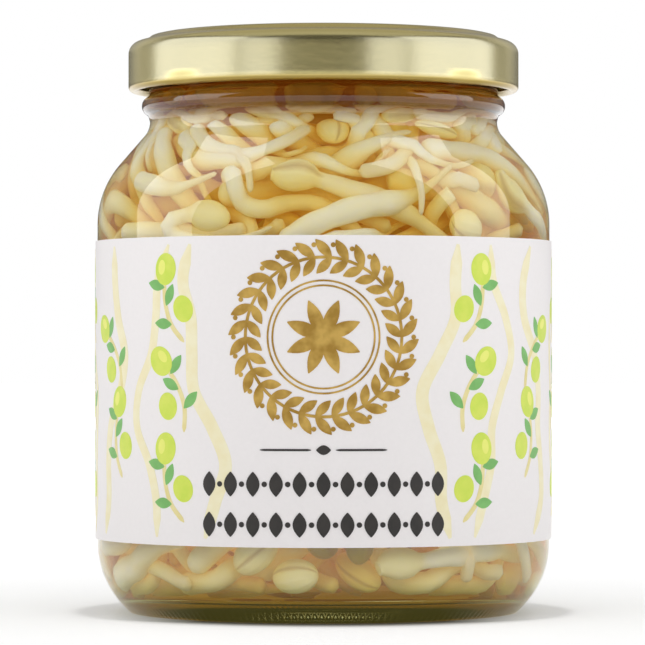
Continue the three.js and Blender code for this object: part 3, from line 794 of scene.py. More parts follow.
def draw_sprig(x, z, angle, size, flip):
    """A pale stem in a gentle bow, with three leaves and two berries."""

    def at(u, v):
        """A place on the sprig: u along it, v to its side."""
        return placed(x, z, size * u, size * flip * v, angle)

    stroke("stem", [at(0, 0), at(4, 1.1), at(8, 0.6), at(12, -1.2)], 0.9 * size)
    for u, v, turn in ((4, 1.0, 58), (7.5, 0.6, -50), (10.5, -0.5, 50)):
        leaf("green", *at(u, v), 4.0 * size, 1.9 * size, angle + flip * turn)
    disc("lime", *at(13.2, -2.2), 5.6 * size, 4.8 * size, angle - flip * 35)
    disc("lime", *at(5.2, -2.5), 4.8 * size, 4.2 * size, angle)
    disc("yellow", *at(13.9, -1.6), 2.6 * size, 1.6 * size, angle - flip * 35)


def draw_ribbons():
    """Pale wavy bands from the foot of the label to its top, behind the sprigs."""
    heights = np.linspace(LABEL_LOW + 1.3, LABEL_HIGH - 1.3, 9)
    for n, x in enumerate(RIBBONS):
        for side in (-1, 1):
            sway = 3.4 * np.sin(0.11 * heights + 1.9 * n + side) + 1.3 * np.sin(0.29 * heights + n)
            stroke("ribbon", np.stack([side * x + sway, heights], axis=-1), 2.3 - 0.5 * (n % 2))


def draw_all():
    """The front panel, then sprigs in staggered columns the rest of the way round."""
    draw_wreath()
    draw_rows()
    draw_ribbons()
    back = math.pi * PAPER
    for c, x in enumerate(np.linspace(24.5, back - 19, 6)):
        for side in (-1, 1):
            for r in range(3):
                z = SPRIG_LOW + SPRIG_STEP * r + (SPRIG_STAGGER if c % 2 else 0.0)
                tilt = 62 + 14 * ((c + r) % 2)
                if z + SPRIG_REACH <= LABEL_HIGH:
                    draw_sprig(side * x, z, 90 - side * (90 - tilt), 0.95, side * (1 if r % 2 else -1))


def printing_ink(name, light, dark, metallic, roughness):
    """Offset printing ink: a flat colour with a slight mottle, dry and semi-gloss."""
    material, tree = new_material(name)
    place = node(tree, "TexCoord", output="Object")
    # The mottle of ink on paper is a tenth of a millimetre wide, drawn at 2.4 mm.
    mottle = node(tree, "TexNoise", {"Vector": place, "Scale": grains(2.38), "Detail": 2.0}, output="Fac")
    spread = node(tree, "MapRange", {"Value": mottle, "From Min": 0.35, "From Max": 0.65})
    colour = node(tree, "Mix", {0: spread, 6: linear(light), 7: linear(dark)}, 2, data_type="RGBA")
    surface = node(tree, "BsdfPrincipled", {
        "Base Color": colour, "Metallic": metallic, "Roughness": roughness,
    })
    node(tree, "OutputMaterial", {"Surface": surface})
    return material


INKS = {
    "gold": ("gold_foil_ink", "#d6b05a", "#ad8636", 0.5, 0.42),
    "charcoal": ("charcoal_ink", "#2b2826", "#332f2c", 0.0, 0.4),
    "ribbon": ("cream_yellow_ink", "#f5eecb", "#f2e8bd", 0.0, 0.42),
    "stem": ("pale_yellow_ink", "#ece0a4", "#e6d894", 0.0, 0.42),
    "green": ("leaf_green_ink", "#7fbf6b", "#74b45f", 0.0, 0.42),
    "lime": ("lime_ink", "#cde24e", "#d8e65c", 0.0, 0.42),
    "yellow": ("light_yellow_ink", "#eef27a", "#e9ee74", 0.0, 0.42),
}


def make_print():
    """One piece for each ink."""
    made = []
    for ink, parts in plates.items():
        sizes = np.cumsum([0] + [len(points) for points, _ in parts[:-1]])
        points = np.concatenate([p for p, _ in parts])
        faces = np.concatenate([f + s for (_, f), s in zip(parts, sizes)])
        material = printing_ink(*INKS[ink])
        made.append(make_piece(f"print_{ink}", points, [faces], "jar", material))
        print("print", ink, len(faces), "faces")
    return made


draw_all()
prints = make_print()

# %% [markdown]
# ## Where the sprouts lie
# Sprouts in a jar are limp: they were poured in, pushed each other aside and came to rest against the
# glass. A cloth or rigid-body simulation could do that, but chains of points do it in seconds. Each
# sprout is 15 points that keep their spacing and their bends, push the points of other sprouts away
# and stay inside the glass. The rule, its seed and the routes of the front sprouts are those of the
# solids, so each fine sprout lies where its solid does.

# %% Rule of the chains
POINTS = 15
BRINE_FOOT = 5.3  # the sprouts lie between these heights
BRINE_CAP = 89.2
CLEARANCE = 0.3  # from the glass
ROUNDS = 1000
SEARCH_EVERY = 10  # rounds
SEARCH_REACH = 3.0  # how much farther than touching a pair is still watched
SPARE = 0.65  # gap between two sprouts
SUNK = 0.5  # share of their radii at which two tied sprouts rest
HEAD_LENGTH, HEAD_RADIUS, TAPER, TAIL_RADIUS, THIN_TAIL = 8.0, 2.5, 11.0, 0.55, 0.35
COLUMN = [(5.8, 18), (60, 18), (70, 9), (88.6, 9)]  # height and radius of the column of brine
DEPTHS = (0, 4)  # how far behind the glass the leads start, in turn
seed = 109


def random(low=0.0, high=1.0):
    """Park and Miller's generator."""
    global seed
    seed = (seed * 16807) % 2147483647
    return low + (high - low) * seed / 2147483647


# %% Routes of the front sprouts: girth, whether it carries its bean, then azimuths and heights
TOP_ROUTES = [
    (1.9, 0, (-31, 70.5), (-1, 74.6), (31, 78.3)),
    (2.1, 0, (-3, 68.2), (14, 72.4), (32, 74.4), (54, 75.2)),
    (1.95, 0, (-12, 63.4), (14, 69), (42, 72.2)),
    (1.9, 0, (-4, 59.5), (16, 65), (38, 69.2)),
    (2.2, 0, (33, 75.5), (52, 75.6), (66, 73), (82, 68)),
    (2, 0, (32, 70.2), (52, 69.4), (82, 65.5)),
    (2.1, 0, (-36, 81), (-19, 78), (-10, 75.9), (-5, 76.2), (-5, 78.2)),
    (1.2, 0, (-24, 85), (-16, 80.7), (-7, 76)),
    (1.35, 0, (-49, 81.5), (-26, 72.4), (-18, 69)),
    (1.5, 1, (-34, 78.8), (-22, 75), (-8, 71.5)),
    (1.5, 0, (-62, 72.5), (-45, 71.2), (-30, 73.6)),
    (1.8, 0, (-80, 67.2), (-42, 69.2)),
    (1.6, 1, (-26, 67.9), (-41, 67.6), (-46, 65.6), (-40, 63.6), (-12, 64.2)),
    (1.5, 0, (-84, 76), (-70, 79), (-42, 79.8)),
    (1.1, 1, (31, 83), (30, 78), (28, 71.5), (24, 64)),
    (1.3, 0, (41, 71), (34, 68.6), (32, 64), (36, 58)),
    (1.8, 0, (38, 81.8), (88, 81)),
    (1.7, 0, (-92, 68), (-80, 72), (-62, 76.8)),
    (1.7, 0, (60, 79.8), (78, 76), (94, 70)),
    (1.6, 0, (-66, 84.4), (-18, 85.2)),
    (1.8, 0, (12, 85.4), (62, 84.8)),
]
BOTTOM_ROUTES = [
    (2, 0, (-76, 7.2), (-61, 10.3), (-40, 13.5)),
    (2.2, 0, (-66, 7.2), (-48, 7.6), (-39, 11), (-44, 17)),
    (1.7, 0, (-88, 17), (-84, 11), (-78, 7.2)),
    (1.8, 1, (-36, 12.6), (-12, 12.4), (8, 17)),
    (1.9, 0, (-38, 7.3), (-25, 9.6), (-10, 14), (0, 20)),
    (1.7, 0, (2, 13), (38, 12.8)),
    (1.8, 0, (30, 14), (41, 11.5), (42, 7.2)),
    (2.1, 0, (42, 18), (49, 11), (58, 7.2)),
    (2, 0, (56, 18), (64, 12), (74, 7.2)),
]
BEANS = [
    (2.6, 7, (-3, 76.4), (-4, 82.8)),
    (1.9, 8.5, (31, 79), (46, 80.4)),
    (2.7, 6.5, (38, 66), (46, 65.8)),
    (2.8, 8.5, (-21, 7.8), (-9, 10.6)),
    (2.6, 7.5, (-16, 8), (-4, 8)),
    (2.3, 8, (4, 7.6), (18, 7.6)),
]
SEED_COATS = [
    (2.6, 6.5, (0, 12.4), (0, 7.6)),
    (2.4, 7.5, (9, 12.4), (9, 7.6)),
    (2.7, 6.5, (18, 12.4), (18, 7.6)),
]

# %% The room inside the glass
TABLE_STEP = 0.5
table_z = TABLE_STEP * np.arange(201)
# The inner wall, from the floor's edge up, in as few steps as the solid has.
inside_line = np.concatenate([
    [[33.4, 3.9]], wall_profile(GLASS, 3, 2), [[NECK_RADIUS - GLASS, RIM_TOP - 0.8]],
])
wall_table = np.interp(table_z, inside_line[:, 1], inside_line[:, 0])
column_z, column_r = np.array(COLUMN, dtype=float).T


def outer_limit(z, radius):
    """How far from the axis the middle of a ball may be, so that it touches the glass nowhere."""
    reach = radius + CLEARANCE
    limit = np.full(np.shape(z), np.inf)
    for k in range(-4, 5):
        dz = (k / 4) * reach
        at = np.clip((z + dz) / TABLE_STEP, 0, len(wall_table) - 2)
        low = np.floor(at).astype(int)
        wall = wall_table[low] + (wall_table[low + 1] - wall_table[low]) * (at - low)
        limit = np.minimum(limit, wall - np.sqrt(reach * reach - dz * dz))
    return limit


def place(azimuth, r, z):
    """A place round the jar."""
    a = math.radians(azimuth)
    return np.array([r * math.sin(a), -r * math.cos(a), z])


def against_wall(steps, radius):
    """A route's points, moved out to the glass."""
    return np.array([place(a, float(outer_limit(np.float64(z), radius)), z) for a, z in steps])


# %% [markdown]
# ## Curves with even spacing
# A smooth curve through a few points runs faster where they are far apart. Measuring its length in 200
# short steps and reading it back by distance makes the spacing even, which the chains need.

# %% Curves


def curve_at(points, t):
    """A centripetal Catmull-Rom curve through the points, at t from 0 to 1."""
    points = np.asarray(points, dtype=float)
    ends = np.array([2 * points[0] - points[1], 2 * points[-1] - points[-2]])
    padded = np.concatenate([ends[:1], points, ends[1:]])
    p = np.clip(t, 0, 1) * (len(points) - 1)
    i = np.minimum(np.floor(p).astype(int), len(points) - 2)
    w = (p - i)[:, None]
    a, b, c, d = (padded[i + k] for k in range(4))
    d0, d1, d2 = (np.sqrt(np.linalg.norm(v, axis=1))[:, None] for v in (b - a, c - b, d - c))
    t1 = ((b - a) / d0 - (c - a) / (d0 + d1) + (c - b) / d1) * d1
    t2 = ((c - b) / d1 - (d - b) / (d1 + d2) + (d - c) / d2) * d1
    return b + w * t1 + w**2 * (3 * (c - b) - 2 * t1 - t2) + w**3 * (2 * (b - c) + t1 + t2)


def curve_lengths(points):
    """Distances along the curve at 201 even values of t."""
    steps = np.linalg.norm(np.diff(curve_at(points, np.linspace(0, 1, 201)), axis=0), axis=1)
    return np.concatenate([[0], np.cumsum(steps)])


def curve_by_share(points, share):
    """The curve's points at shares of its length."""
    lengths = curve_lengths(points)
    return curve_at(points, np.interp(np.asarray(share) * lengths[-1], lengths, np.linspace(0, 1, 201)))


# %% [markdown]
# ## The girth of a sprout
# A mung bean sprout has a plump stem that thins to a thread of a root over a few millimetres. At its
# other end there is often the split bean it grew from, wider than the neck it sits on.

# %% Girth


def girth_at(chain, s):
    """Radius at a distance from the head end: head, neck, stem and root, or a bean's oval."""
    s = np.asarray(s, dtype=float)
    length, girth = chain["length"], chain["girth"]
    if chain["kind"] != "sprout":
        return girth * np.sqrt(np.maximum(0, 1 - (2 * s / length - 1) ** 2))
    tail = np.clip((length - chain["tail"] - s) / TAPER, 0, 1)
    radius = TAIL_RADIUS + (girth - TAIL_RADIUS) * tail * tail * (3 - 2 * tail)
    past = np.maximum(0, s - (length - chain["tail"]))
    radius = radius + (THIN_TAIL - TAIL_RADIUS) * past / chain["tail"]
    if chain["head"]:
        radius = radius * (0.6 + 0.4 * np.clip((s - HEAD_LENGTH + 1) / 7, 0, 1))
        across = 2 * s / HEAD_LENGTH - 1
        bean = np.where(across < 1, HEAD_RADIUS * np.sqrt(np.maximum(0, 1 - across * across)), 0)
        return np.where(s < HEAD_LENGTH / 2, bean, np.maximum(bean, radius))
    blunt = np.sqrt(np.maximum(0, radius**2 - (radius - s) ** 2))
    return np.where(s < radius, blunt, radius)


def chain_along(route, made):
    """A chain along a route of points, evenly spaced."""
    chain = dict(made)
    if made["kind"] == "sprout":
        chain["length"] = curve_lengths(route)[-1]
    chain["points"] = curve_by_share(route, np.arange(POINTS) / (POINTS - 1))
    chain["spacing"] = chain["length"] / (POINTS - 1)
    chain["true_radii"] = girth_at(chain, chain["spacing"] * np.arange(POINTS))
    chain["radii"] = np.maximum(1.1, chain["true_radii"])
    return chain


FIFTHS = (-1, -0.5, 0, 0.5, 1)  # five places along a stem, from its middle


def crossing(front, index, angle, half, girth, head):
    """A stem that crosses another one behind it and sinks into it there. It leans the other way."""
    at = front["points"][index]
    along = front["points"][index + 1] - front["points"][index - 1]
    along = along / np.linalg.norm(along)
    inwards = np.array([-at[0], -at[1], 0])
    inwards = inwards / np.linalg.norm(inwards)
    rises = along[2] * (at[0] * along[1] - at[1] * along[0]) > 0
    a = math.radians(angle if rises else -angle)
    turned_along = (along * math.cos(a) + np.cross(inwards, along) * math.sin(a)
                    + inwards * np.dot(inwards, along) * (1 - math.cos(a)))
    middle = at + inwards * 0.7 * (front["girth"] + girth)
    route = np.array([middle + turned_along * half * t + inwards * 1.2 * t * t for t in FIFTHS])
    return chain_along(route, {"kind": "sprout", "girth": girth, "head": head, "tail": random(2, 6)})


def clump(name, route, order, girth, head, followers):
    """The sprouts of one node: a lead near the glass and those that cross behind it."""
    lead = {"kind": "sprout", "girth": girth, "head": head, "tail": random(1, 5)}
    chains = [chain_along(against_wall(route, girth + DEPTHS[order % len(DEPTHS)]), lead)]
    ties = []
    for k in range(followers):
        index = math.floor(random(4, 8) + 0.5)
        turn = random(30, 62)
        half, thick = random(13, 18), random(1.35, 1.9)
        chains.append(crossing(chains[-1], index, turn, half, thick, 1 if random() < 0.4 else 0))
        ties.append((k, index, k + 1, (POINTS - 1) // 2))
    return {"name": name, "chains": chains, "ties": ties}


def loose_route(azimuth, z, slope, half):
    """A gentle slope at a given azimuth and height."""
    run = math.degrees(half / 34)
    bow = random(-1.5, 1.5)
    return [(azimuth - run, z - slope * half), (azimuth, z + bow), (azimuth + run, z + slope * half)]


def loose_clumps(name, count, first_azimuth, spread, low, high, first):
    """Clumps at even steps round the jar, at heights that the golden ratio spreads out."""
    made = []
    for i in range(count):
        azimuth = first_azimuth + spread * (i + 0.5) / count + random(-5, 5)
        level = low + (high - low) * ((i * 0.618) % 1)
        slope, half = random(-0.35, 0.35), random(13, 17)
        route = loose_route(azimuth, level, slope, half)
        made.append(clump(f"{name}_{first + i:02d}", route, i, random(1.5, 2), i % 2, 2))
    return made


def named(name, routes):
    """Clumps along the routes of the front."""
    return [
        clump(f"{name}_{i + 1:02d}", route, i, girth, head, 1)
        for i, (girth, head, *route) in enumerate(routes)
    ]


def small(name, kind, rows):
    """Beans and seed coats."""
    made = []
    for i, (girth, length, start, end) in enumerate(rows):
        facts = {"kind": kind, "girth": girth, "length": length}
        chain = chain_along(against_wall([start, end], girth), facts)
        made.append({"name": f"{name}_{i + 1}", "chains": [chain], "ties": []})
    return made


clumps = [
    *named("sprouts_top", TOP_ROUTES),
    *loose_clumps("sprouts_top", 7, 100, 160, 67, 82, len(TOP_ROUTES) + 1),
    *loose_clumps("sprouts_middle", 5, 0, 360, 24, 56, 1),
    *named("sprouts_bottom", BOTTOM_ROUTES),
    *loose_clumps("sprouts_bottom", 4, 90, 180, 8.5, 15, len(BOTTOM_ROUTES) + 1),
    *small("bean", "bean", BEANS),
    *small("seed_coat", "seed coat", SEED_COATS),
]
print("clumps:", len(clumps), "chains:", sum(len(c["chains"]) for c in clumps))

# %% [markdown]
# ## Settling
# Every round first lets each chain keep its shape, then pushes apart the points that are too near, and
# last keeps them all inside. The pairs that can touch are searched for only every tenth round. A
# second call settles more sprouts in the gaps while the first ones stay where they are.

# %% Settle


def settle(groups, rounds, fixed=None, core=True):
    """Moves the chains of the groups to rest, in place. fixed holds (points, radii) that don't move."""
    chains = [c for g in groups for c in g["chains"]]
    owner = np.repeat([i for i, g in enumerate(groups) for _ in g["chains"]], POINTS)
    chain_of = np.repeat(np.arange(len(chains)), POINTS)
    index_of = np.tile(np.arange(POINTS), len(chains))
    stem = np.repeat([c["kind"] == "sprout" for c in chains], POINTS)
    points = np.array([c["points"] for c in chains])
    radii = np.array([c["radii"] for c in chains])
    spacing = np.array([c["spacing"] for c in chains])
    bends = {
        reach: np.linalg.norm(points[:, reach:] - points[:, :-reach], axis=2) for reach in (4, 2)
    }
    first_chain = np.cumsum([0] + [len(g["chains"]) for g in groups[:-1]])
    ties = [[], [], []]
    for g, start in zip(groups, first_chain):
        for order, (c, i, d, j) in enumerate(g["ties"]):
            a, b = chains[start + c], chains[start + d]
            ties[order].append((start + c, i, start + d, j, SUNK * (a["true_radii"][i] + b["true_radii"][j])))
    ties = [np.array(t) for t in ties if t]
    moving = points.reshape(-1, 3)
    radius = radii.ravel()
    still = np.zeros((0, 3)) if fixed is None else fixed[0]
    still_radius = np.zeros(0) if fixed is None else fixed[1]

    def pull(a, b, distance, share):
        """Moves two sets of points towards a distance from each other."""
        gap = points[b] - points[a]
        now = np.maximum(np.linalg.norm(gap, axis=-1), 1e-9)
        gap = gap * (0.5 * share * (now - distance) / now)[..., None]
        points[a] += gap
        points[b] -= gap

    def search():
        """Pairs of moving points, and of a moving and a fixed point, that are nearly touching."""
        found = []
        for start in range(0, len(moving), 600):
            rows = slice(start, start + 600)
            apart = radius[rows, None] + radius[None, :] + SPARE
            same_chain = chain_of[rows, None] == chain_of[None, :]
            tied = (owner[rows, None] == owner[None, :]) & ~same_chain
            apart = np.where(tied, SUNK * (radius[rows, None] + radius[None, :]), apart)
            squares = ((moving[rows, None] - moving[None, :]) ** 2).sum(axis=2)
            near = squares < (apart + SEARCH_REACH) ** 2
            near &= np.arange(len(moving))[None, :] > np.arange(start, start + near.shape[0])[:, None]
            neighbours = np.abs(index_of[rows, None] - index_of[None, :]) < 5
            near &= ~(same_chain & (~stem[rows, None] | neighbours))
            i, j = np.nonzero(near)
            found.append((i + start, j, apart[i, j]))
        pairs = [np.concatenate(x) for x in zip(*found)]
        held = []
        for start in range(0, len(moving), 600):
            rows = slice(start, start + 600)
            apart = radius[rows, None] + still_radius[None, :] + 0.5 * SPARE
            squares = ((moving[rows, None] - still[None, :]) ** 2).sum(axis=2)
            i, j = np.nonzero(squares < (apart + SEARCH_REACH) ** 2)
            held.append((i + start, j, apart[i, j]))
        return pairs, [np.concatenate(x) for x in zip(*held)]

    def keep_apart(pairs, held):
        """Jacobi pushes: each point moves by the sum of its pushes over the root of their number."""
        push = np.zeros_like(moving)
        hits = np.zeros(len(moving))
        i, j, apart = pairs
        gap = moving[j] - moving[i]
        now = np.maximum(np.linalg.norm(gap, axis=1), 1e-9)
        hit = now < apart
        i, j, gap = i[hit], j[hit], gap[hit] * (0.5 * (apart - now) / now)[hit, None]
        i2, j2, apart2 = held
        gap2 = still[j2] - moving[i2]
        now2 = np.maximum(np.linalg.norm(gap2, axis=1), 1e-9)
        hit2 = now2 < apart2
        i2, gap2 = i2[hit2], gap2[hit2] * ((apart2 - now2) / now2)[hit2, None]
        for axis in range(3):
            push[:, axis] = (
                np.bincount(j, gap[:, axis], len(moving))
                - np.bincount(i, gap[:, axis], len(moving))
                - np.bincount(i2, gap2[:, axis], len(moving))
            )
        for k in (i, j, i2):
            hits += np.bincount(k, minlength=len(moving))
        moving[:] += push / np.sqrt(np.maximum(hits, 1))[:, None]

    def keep_inside():
        """Back between the glass and the column, and between the layers of brine."""
        low, high = BRINE_FOOT + CLEARANCE + radius, BRINE_CAP - CLEARANCE - radius
        moving[:, 2] = np.clip(moving[:, 2], low, high)
        r = np.maximum(np.hypot(moving[:, 0], moving[:, 1]), 1e-9)
        least = np.interp(moving[:, 2], column_z, column_r) + CLEARANCE + radius if core else 0 * radius
        wanted = np.minimum(outer_limit(moving[:, 2], radius), np.maximum(least, r))
        moving[:, :2] *= (wanted / r)[:, None]

    def straighten(rows):
        """A bean or a seed coat is stiff: its points lie on a straight line."""
        steps = np.arange(POINTS) - (POINTS - 1) / 2
        middle = points[rows].mean(axis=1, keepdims=True)
        along = (points[rows] * steps[None, :, None]).sum(axis=1, keepdims=True)
        along /= np.linalg.norm(along, axis=2, keepdims=True)
        points[rows] = middle + along * steps[None, :, None] * spacing[rows][:, None, None]

    is_stem = np.array([c["kind"] == "sprout" for c in chains])
    stems = np.nonzero(is_stem)[0][:, None]
    stiff = np.nonzero(~is_stem)[0]
    for step in range(rounds):
        if step % SEARCH_EVERY == 0:
            pairs, held = search()
        for reach in (4, 2):
            for start in range(2 * reach):
                i = np.arange(start, POINTS - reach, 2 * reach)[None, :]
                pull((stems, i), (stems, i + reach), bends[reach][stems, i], 0.35)
        for parity in (0, 1):
            i = np.arange(parity, POINTS - 1, 2)[None, :]
            pull((stems, i), (stems, i + 1), spacing[stems], 1)
        if len(stiff):
            straighten(stiff)
        keep_apart(pairs, held)
        for tie in ties:
            c, i, d, j = tie[:, :4].astype(int).T
            pull((c, i), (d, j), tie[:, 4], 1)
        keep_inside()
    for chain, settled in zip(chains, points):
        chain["points"] = settled
    return chains


settle(clumps, ROUNDS)

# %% Compare with the solids


def off_by(group):
    """How far a clump's box is from its solid's, in millimetres."""
    low, high = node_box(group["name"])
    reach = np.concatenate([c["points"] for c in group["chains"]])
    size = np.concatenate([c["true_radii"] for c in group["chains"]])[:, None]
    below, above = (reach - size).min(axis=0) - low, (reach + size).max(axis=0) - high
    return max(np.abs(below).max(), np.abs(above).max())


print("farthest from its solid:", round(max(off_by(g) for g in clumps), 2), "mm")

# %% [markdown]
# ## The skin of a sprout
# A settled chain becomes a skin: rings round its middle line, close together at the bean and wider
# apart along the stem. The bean is two halves with a slit between them, so its rings are pinched on
# one side. The stem is not a perfect tube: its girth wavers by a twentieth.

# %% Sprout skins
STEM_RINGS, STEM_SIDES = 30, 12
DEEP = 6.0  # millimetres of brine that turn a sprout golden
STUB = 1.2  # radius of a snapped root's end
ROOT = 9.0  # length of the browner root
BEAN_RINGS, BEAN_SIDES = 24, 60


def ring_stops(chain, count):
    """Distances from the head end, closer together where the girth changes fast."""
    t = np.linspace(0, 1, count + 2)[1:-1]
    if chain["kind"] != "sprout":
        return chain["length"] * 0.5 * (1 - np.cos(math.pi * t))
    ends = 0.5 * (1 - np.cos(math.pi * t))
    return chain["length"] * (0.55 * t + 0.45 * ends) ** (1.35 if chain["head"] else 1.15)


def blunt_end(chain, s):
    """1 along the stem and round at the root end, where most roots have snapped off."""
    left = np.clip((chain["length"] - s) / STUB, 0, 1)
    return np.sqrt(1 - (1 - left) ** 2)


def sprout_skin(chain, rings=STEM_RINGS, sides=STEM_SIDES):
    """Points, faces and surface values of one chain's skin."""
    s = ring_stops(chain, rings)
    share = np.concatenate([[0], s / chain["length"], [1]])
    line = curve_by_share(chain["points"], share)
    along = np.gradient(line, axis=0)
    along /= np.linalg.norm(along, axis=1, keepdims=True)
    outwards = line * [1, 1, 0]
    outwards /= np.maximum(np.linalg.norm(outwards, axis=1, keepdims=True), 1e-9)
    across = np.cross(outwards, along)
    across /= np.linalg.norm(across, axis=1, keepdims=True)
    out = np.cross(along, across)
    line, across, out = line[1:-1, None], across[1:-1, None], out[1:-1, None]
    a = 2 * math.pi * (np.arange(sides) + 0.5) / sides
    radius = np.maximum(girth_at(chain, s), chain["stub"] * blunt_end(chain, s))[:, None]
    phase = chain["phase"]
    head = chain.get("head", 0) * smooth((HEAD_LENGTH + 0.5 - s) / 1.5)[:, None]
    bean = np.maximum(head, 0.0 if chain["kind"] == "sprout" else 1.0)
    from_slit = np.angle(np.exp(1j * (a - chain["slit"])))
    pinch = 1 - bean * 0.08 * np.exp(-((from_slit / 0.2) ** 2))[None, :]
    waver = 1 + (1 - bean) * 0.05 * np.sin(0.9 * s[:, None] + phase + 1.5 * np.sin(a + phase)[None, :])
    waver = waver + bean * 0.02 * np.cos(12 * a + 0.7 * s[:, None])
    flat = 1 - 0.22 * bean
    u, v = radius * pinch * waver * np.cos(a), radius * pinch * waver * flat * np.sin(a)
    skin = (line + across * u[..., None] + out * v[..., None]).reshape(-1, 3)
    poles = [curve_by_share(chain["points"], [end]) for end in (0, 1)]
    points = np.concatenate([poles[0], skin, poles[1]])
    wall = np.interp(points[:, 2], table_z, wall_table)
    under_glass = wall - np.hypot(points[:, 0], points[:, 1]) - 1.0
    in_slit = bean * np.exp(-((from_slit / 0.13) ** 2))
    root = np.repeat(smooth((s - chain["length"] + ROOT) / ROOT), sides)
    values = {
        "depth": np.clip(under_glass / DEEP, 0, 2),
        "bean": np.concatenate([bean[:1, 0], (bean + 0 * a).ravel(), [bean[-1, 0]]]),
        "tint": np.full(len(points), chain["tint"]),
        "root": np.concatenate([[0], root, [1]]) * (chain["kind"] == "sprout"),
        "slit": np.concatenate([[0], in_slit.ravel(), [0]]),
    }
    return points, skin_faces(rings, sides), values


def make_clump(name, chains, slot, material, replaced=(), rings=STEM_RINGS, sides=STEM_SIDES):
    """One piece from several chains' skins."""
    points, quads, triangles, values = [], [], [], {}
    start = 0
    for chain in chains:
        p, (q, t), extra = sprout_skin(chain, rings, sides)
        points.append(p)
        quads.append(q + start)
        triangles.append(t + start)
        for key, numbers in extra.items():
            values.setdefault(key, []).append(numbers)
        start += len(p)
    values = {key: np.concatenate(numbers) for key, numbers in values.items()}
    faces = [np.concatenate(quads), np.concatenate(triangles)]
    return make_piece(name, np.concatenate(points), faces, "jar", material, replaced, values, crease=75)


# %% [markdown]
# ## Sprout flesh
# The stem of a sprout is wet and translucent: light goes in, scatters a millimetre or two and comes
# out cream. The bean is yellower and denser, the root browner. Under brine the skin hardly shines,
# because the liquid nearly matches it. The deeper a sprout lies, the more amber is in front of it,
# so the colour turns golden with the distance from the glass. A faint glow stands for the light that the
# brine scatters back on it from all sides.

# %% Flesh materials
AMBER = "#e2bd58"


def plant_flesh(name, light, shade, bean, root):
    """Plant flesh with scattering, whose colour follows the bean, the root and the depth."""
    material, tree = new_material(name)
    place = node(tree, "TexCoord", output="Object")
    tint, beanness, rootness, slit, depth = (
        node(tree, "Attribute", output="Fac", attribute_name=name)
        for name in ("tint", "bean", "root", "slit", "depth")
    )
    # The strands of a stem are a third of a millimetre wide, drawn at 2.6 mm. Its patches are 9 mm long.
    fibres = node(tree, "TexNoise", {"Vector": place, "Scale": grains(2.63), "Detail": 3.0}, output="Fac")
    patches = node(tree, "TexNoise", {"Vector": place, "Scale": grains(9.09), "Detail": 2.0}, output="Fac")
    mixed = node(tree, "Math", {0: tint, 1: patches}, operation="MULTIPLY")
    flesh = node(tree, "Mix", {0: mixed, 6: linear(light), 7: linear(shade)}, 2, data_type="RGBA")
    flesh = node(tree, "Mix", {0: beanness, 6: flesh, 7: linear(bean)}, 2, data_type="RGBA")
    brown = node(tree, "Math", {0: rootness, 1: 0.55}, operation="MULTIPLY")
    flesh = node(tree, "Mix", {0: brown, 6: flesh, 7: linear(root)}, 2, data_type="RGBA")
    dark = node(tree, "Math", {0: slit, 1: 0.45}, operation="MULTIPLY")
    flesh = node(tree, "Mix", {0: dark, 6: flesh, 7: linear("#a8762c")}, 2, data_type="RGBA")
    # Each DEEP millimetres of brine multiply the colour by the amber once more.
    painted_glow = node(tree, "MapRange", {"Value": depth, "To Min": 0.14, "To Max": 0.2})
    amber = node(tree, "Gamma", {"Color": linear(AMBER), "Gamma": depth})
    flesh = node(tree, "Mix", {0: 1.0, 6: flesh, 7: amber}, 2, data_type="RGBA", blend_type="MULTIPLY")
    bump = node(tree, "Bump", {"Height": fibres, "Strength": 0.25, "Distance": 0.0003})
    surface = node(tree, "BsdfPrincipled", {
        "Base Color": flesh, "Roughness": 0.38, "IOR": 1.38, "Specular IOR Level": 0.35, "Normal": bump,
        "Subsurface Weight": 0.8, "Subsurface Scale": 0.003, "Subsurface Radius": (1.0, 0.9, 0.5),
        "Emission Color": flesh, "Emission Strength": painted_glow,
    })
    node(tree, "OutputMaterial", {"Surface": surface})
    return material


flesh_material = plant_flesh("sprout_flesh", "#faf8ee", "#f2ecda", "#f7efc8", "#dcc48a")
bean_material = plant_flesh("bean_cotyledon", "#f8f1d2", "#f0e3b6", "#f7efc8", "#d3b06a")
coat_material = plant_flesh("mung_seed_coat", "#c6ac48", "#a8923a", "#b09a3c", "#7d6a2c")
FLESH = {
    "sprout": (flesh_material, "sprout_flesh"),
    "bean": (bean_material, "bean_flesh"),
    "seed coat": (coat_material, "seed_skin"),
}


def dress(groups, first=0):
    """Gives every chain its own tint, slit and phase."""
    for n, chain in enumerate(c for g in groups for c in g["chains"]):
        chain["tint"] = (0.37 * (n + first)) % 1.0
        chain["phase"] = 2.4 * n
        chain["slit"] = 0.6 + 1.9 * ((0.618 * (n + first)) % 1.0)
        chain["stub"] = STUB if chain["kind"] == "sprout" and n % 4 else 0.0


dress(clumps)
contents = []  # all pieces under the brine
for group in clumps:
    kind = group["chains"][0]["kind"]
    material, slot_name = FLESH[kind]
    detail = (STEM_RINGS, STEM_SIDES) if kind == "sprout" else (BEAN_RINGS, BEAN_SIDES)
    contents.append(
        make_clump("fine_" + group["name"], group["chains"], slot_name, material, [group["name"]], *detail)
    )

# %% [markdown]
# ## More sprouts
# The jar holds far more sprouts than the solids show. They lie behind and between the first ones, so
# they are settled in a second pass round them, and grouped into a few pieces by height.

# %% Fill the gaps
EXTRA_ROUNDS = 260
# Distance from the axis, count, and the azimuths between which they lie.
SHELLS = [(34, 44, 95, 265), (30, 84, 0, 360), (26, 84, 0, 360), (22, 50, 0, 360)]
ZONES = [(62, 81), (62, 81), (62, 81), (8, 22), (8, 22), (24, 60)]  # heights, in turn
random_extra = np.random.default_rng(11)


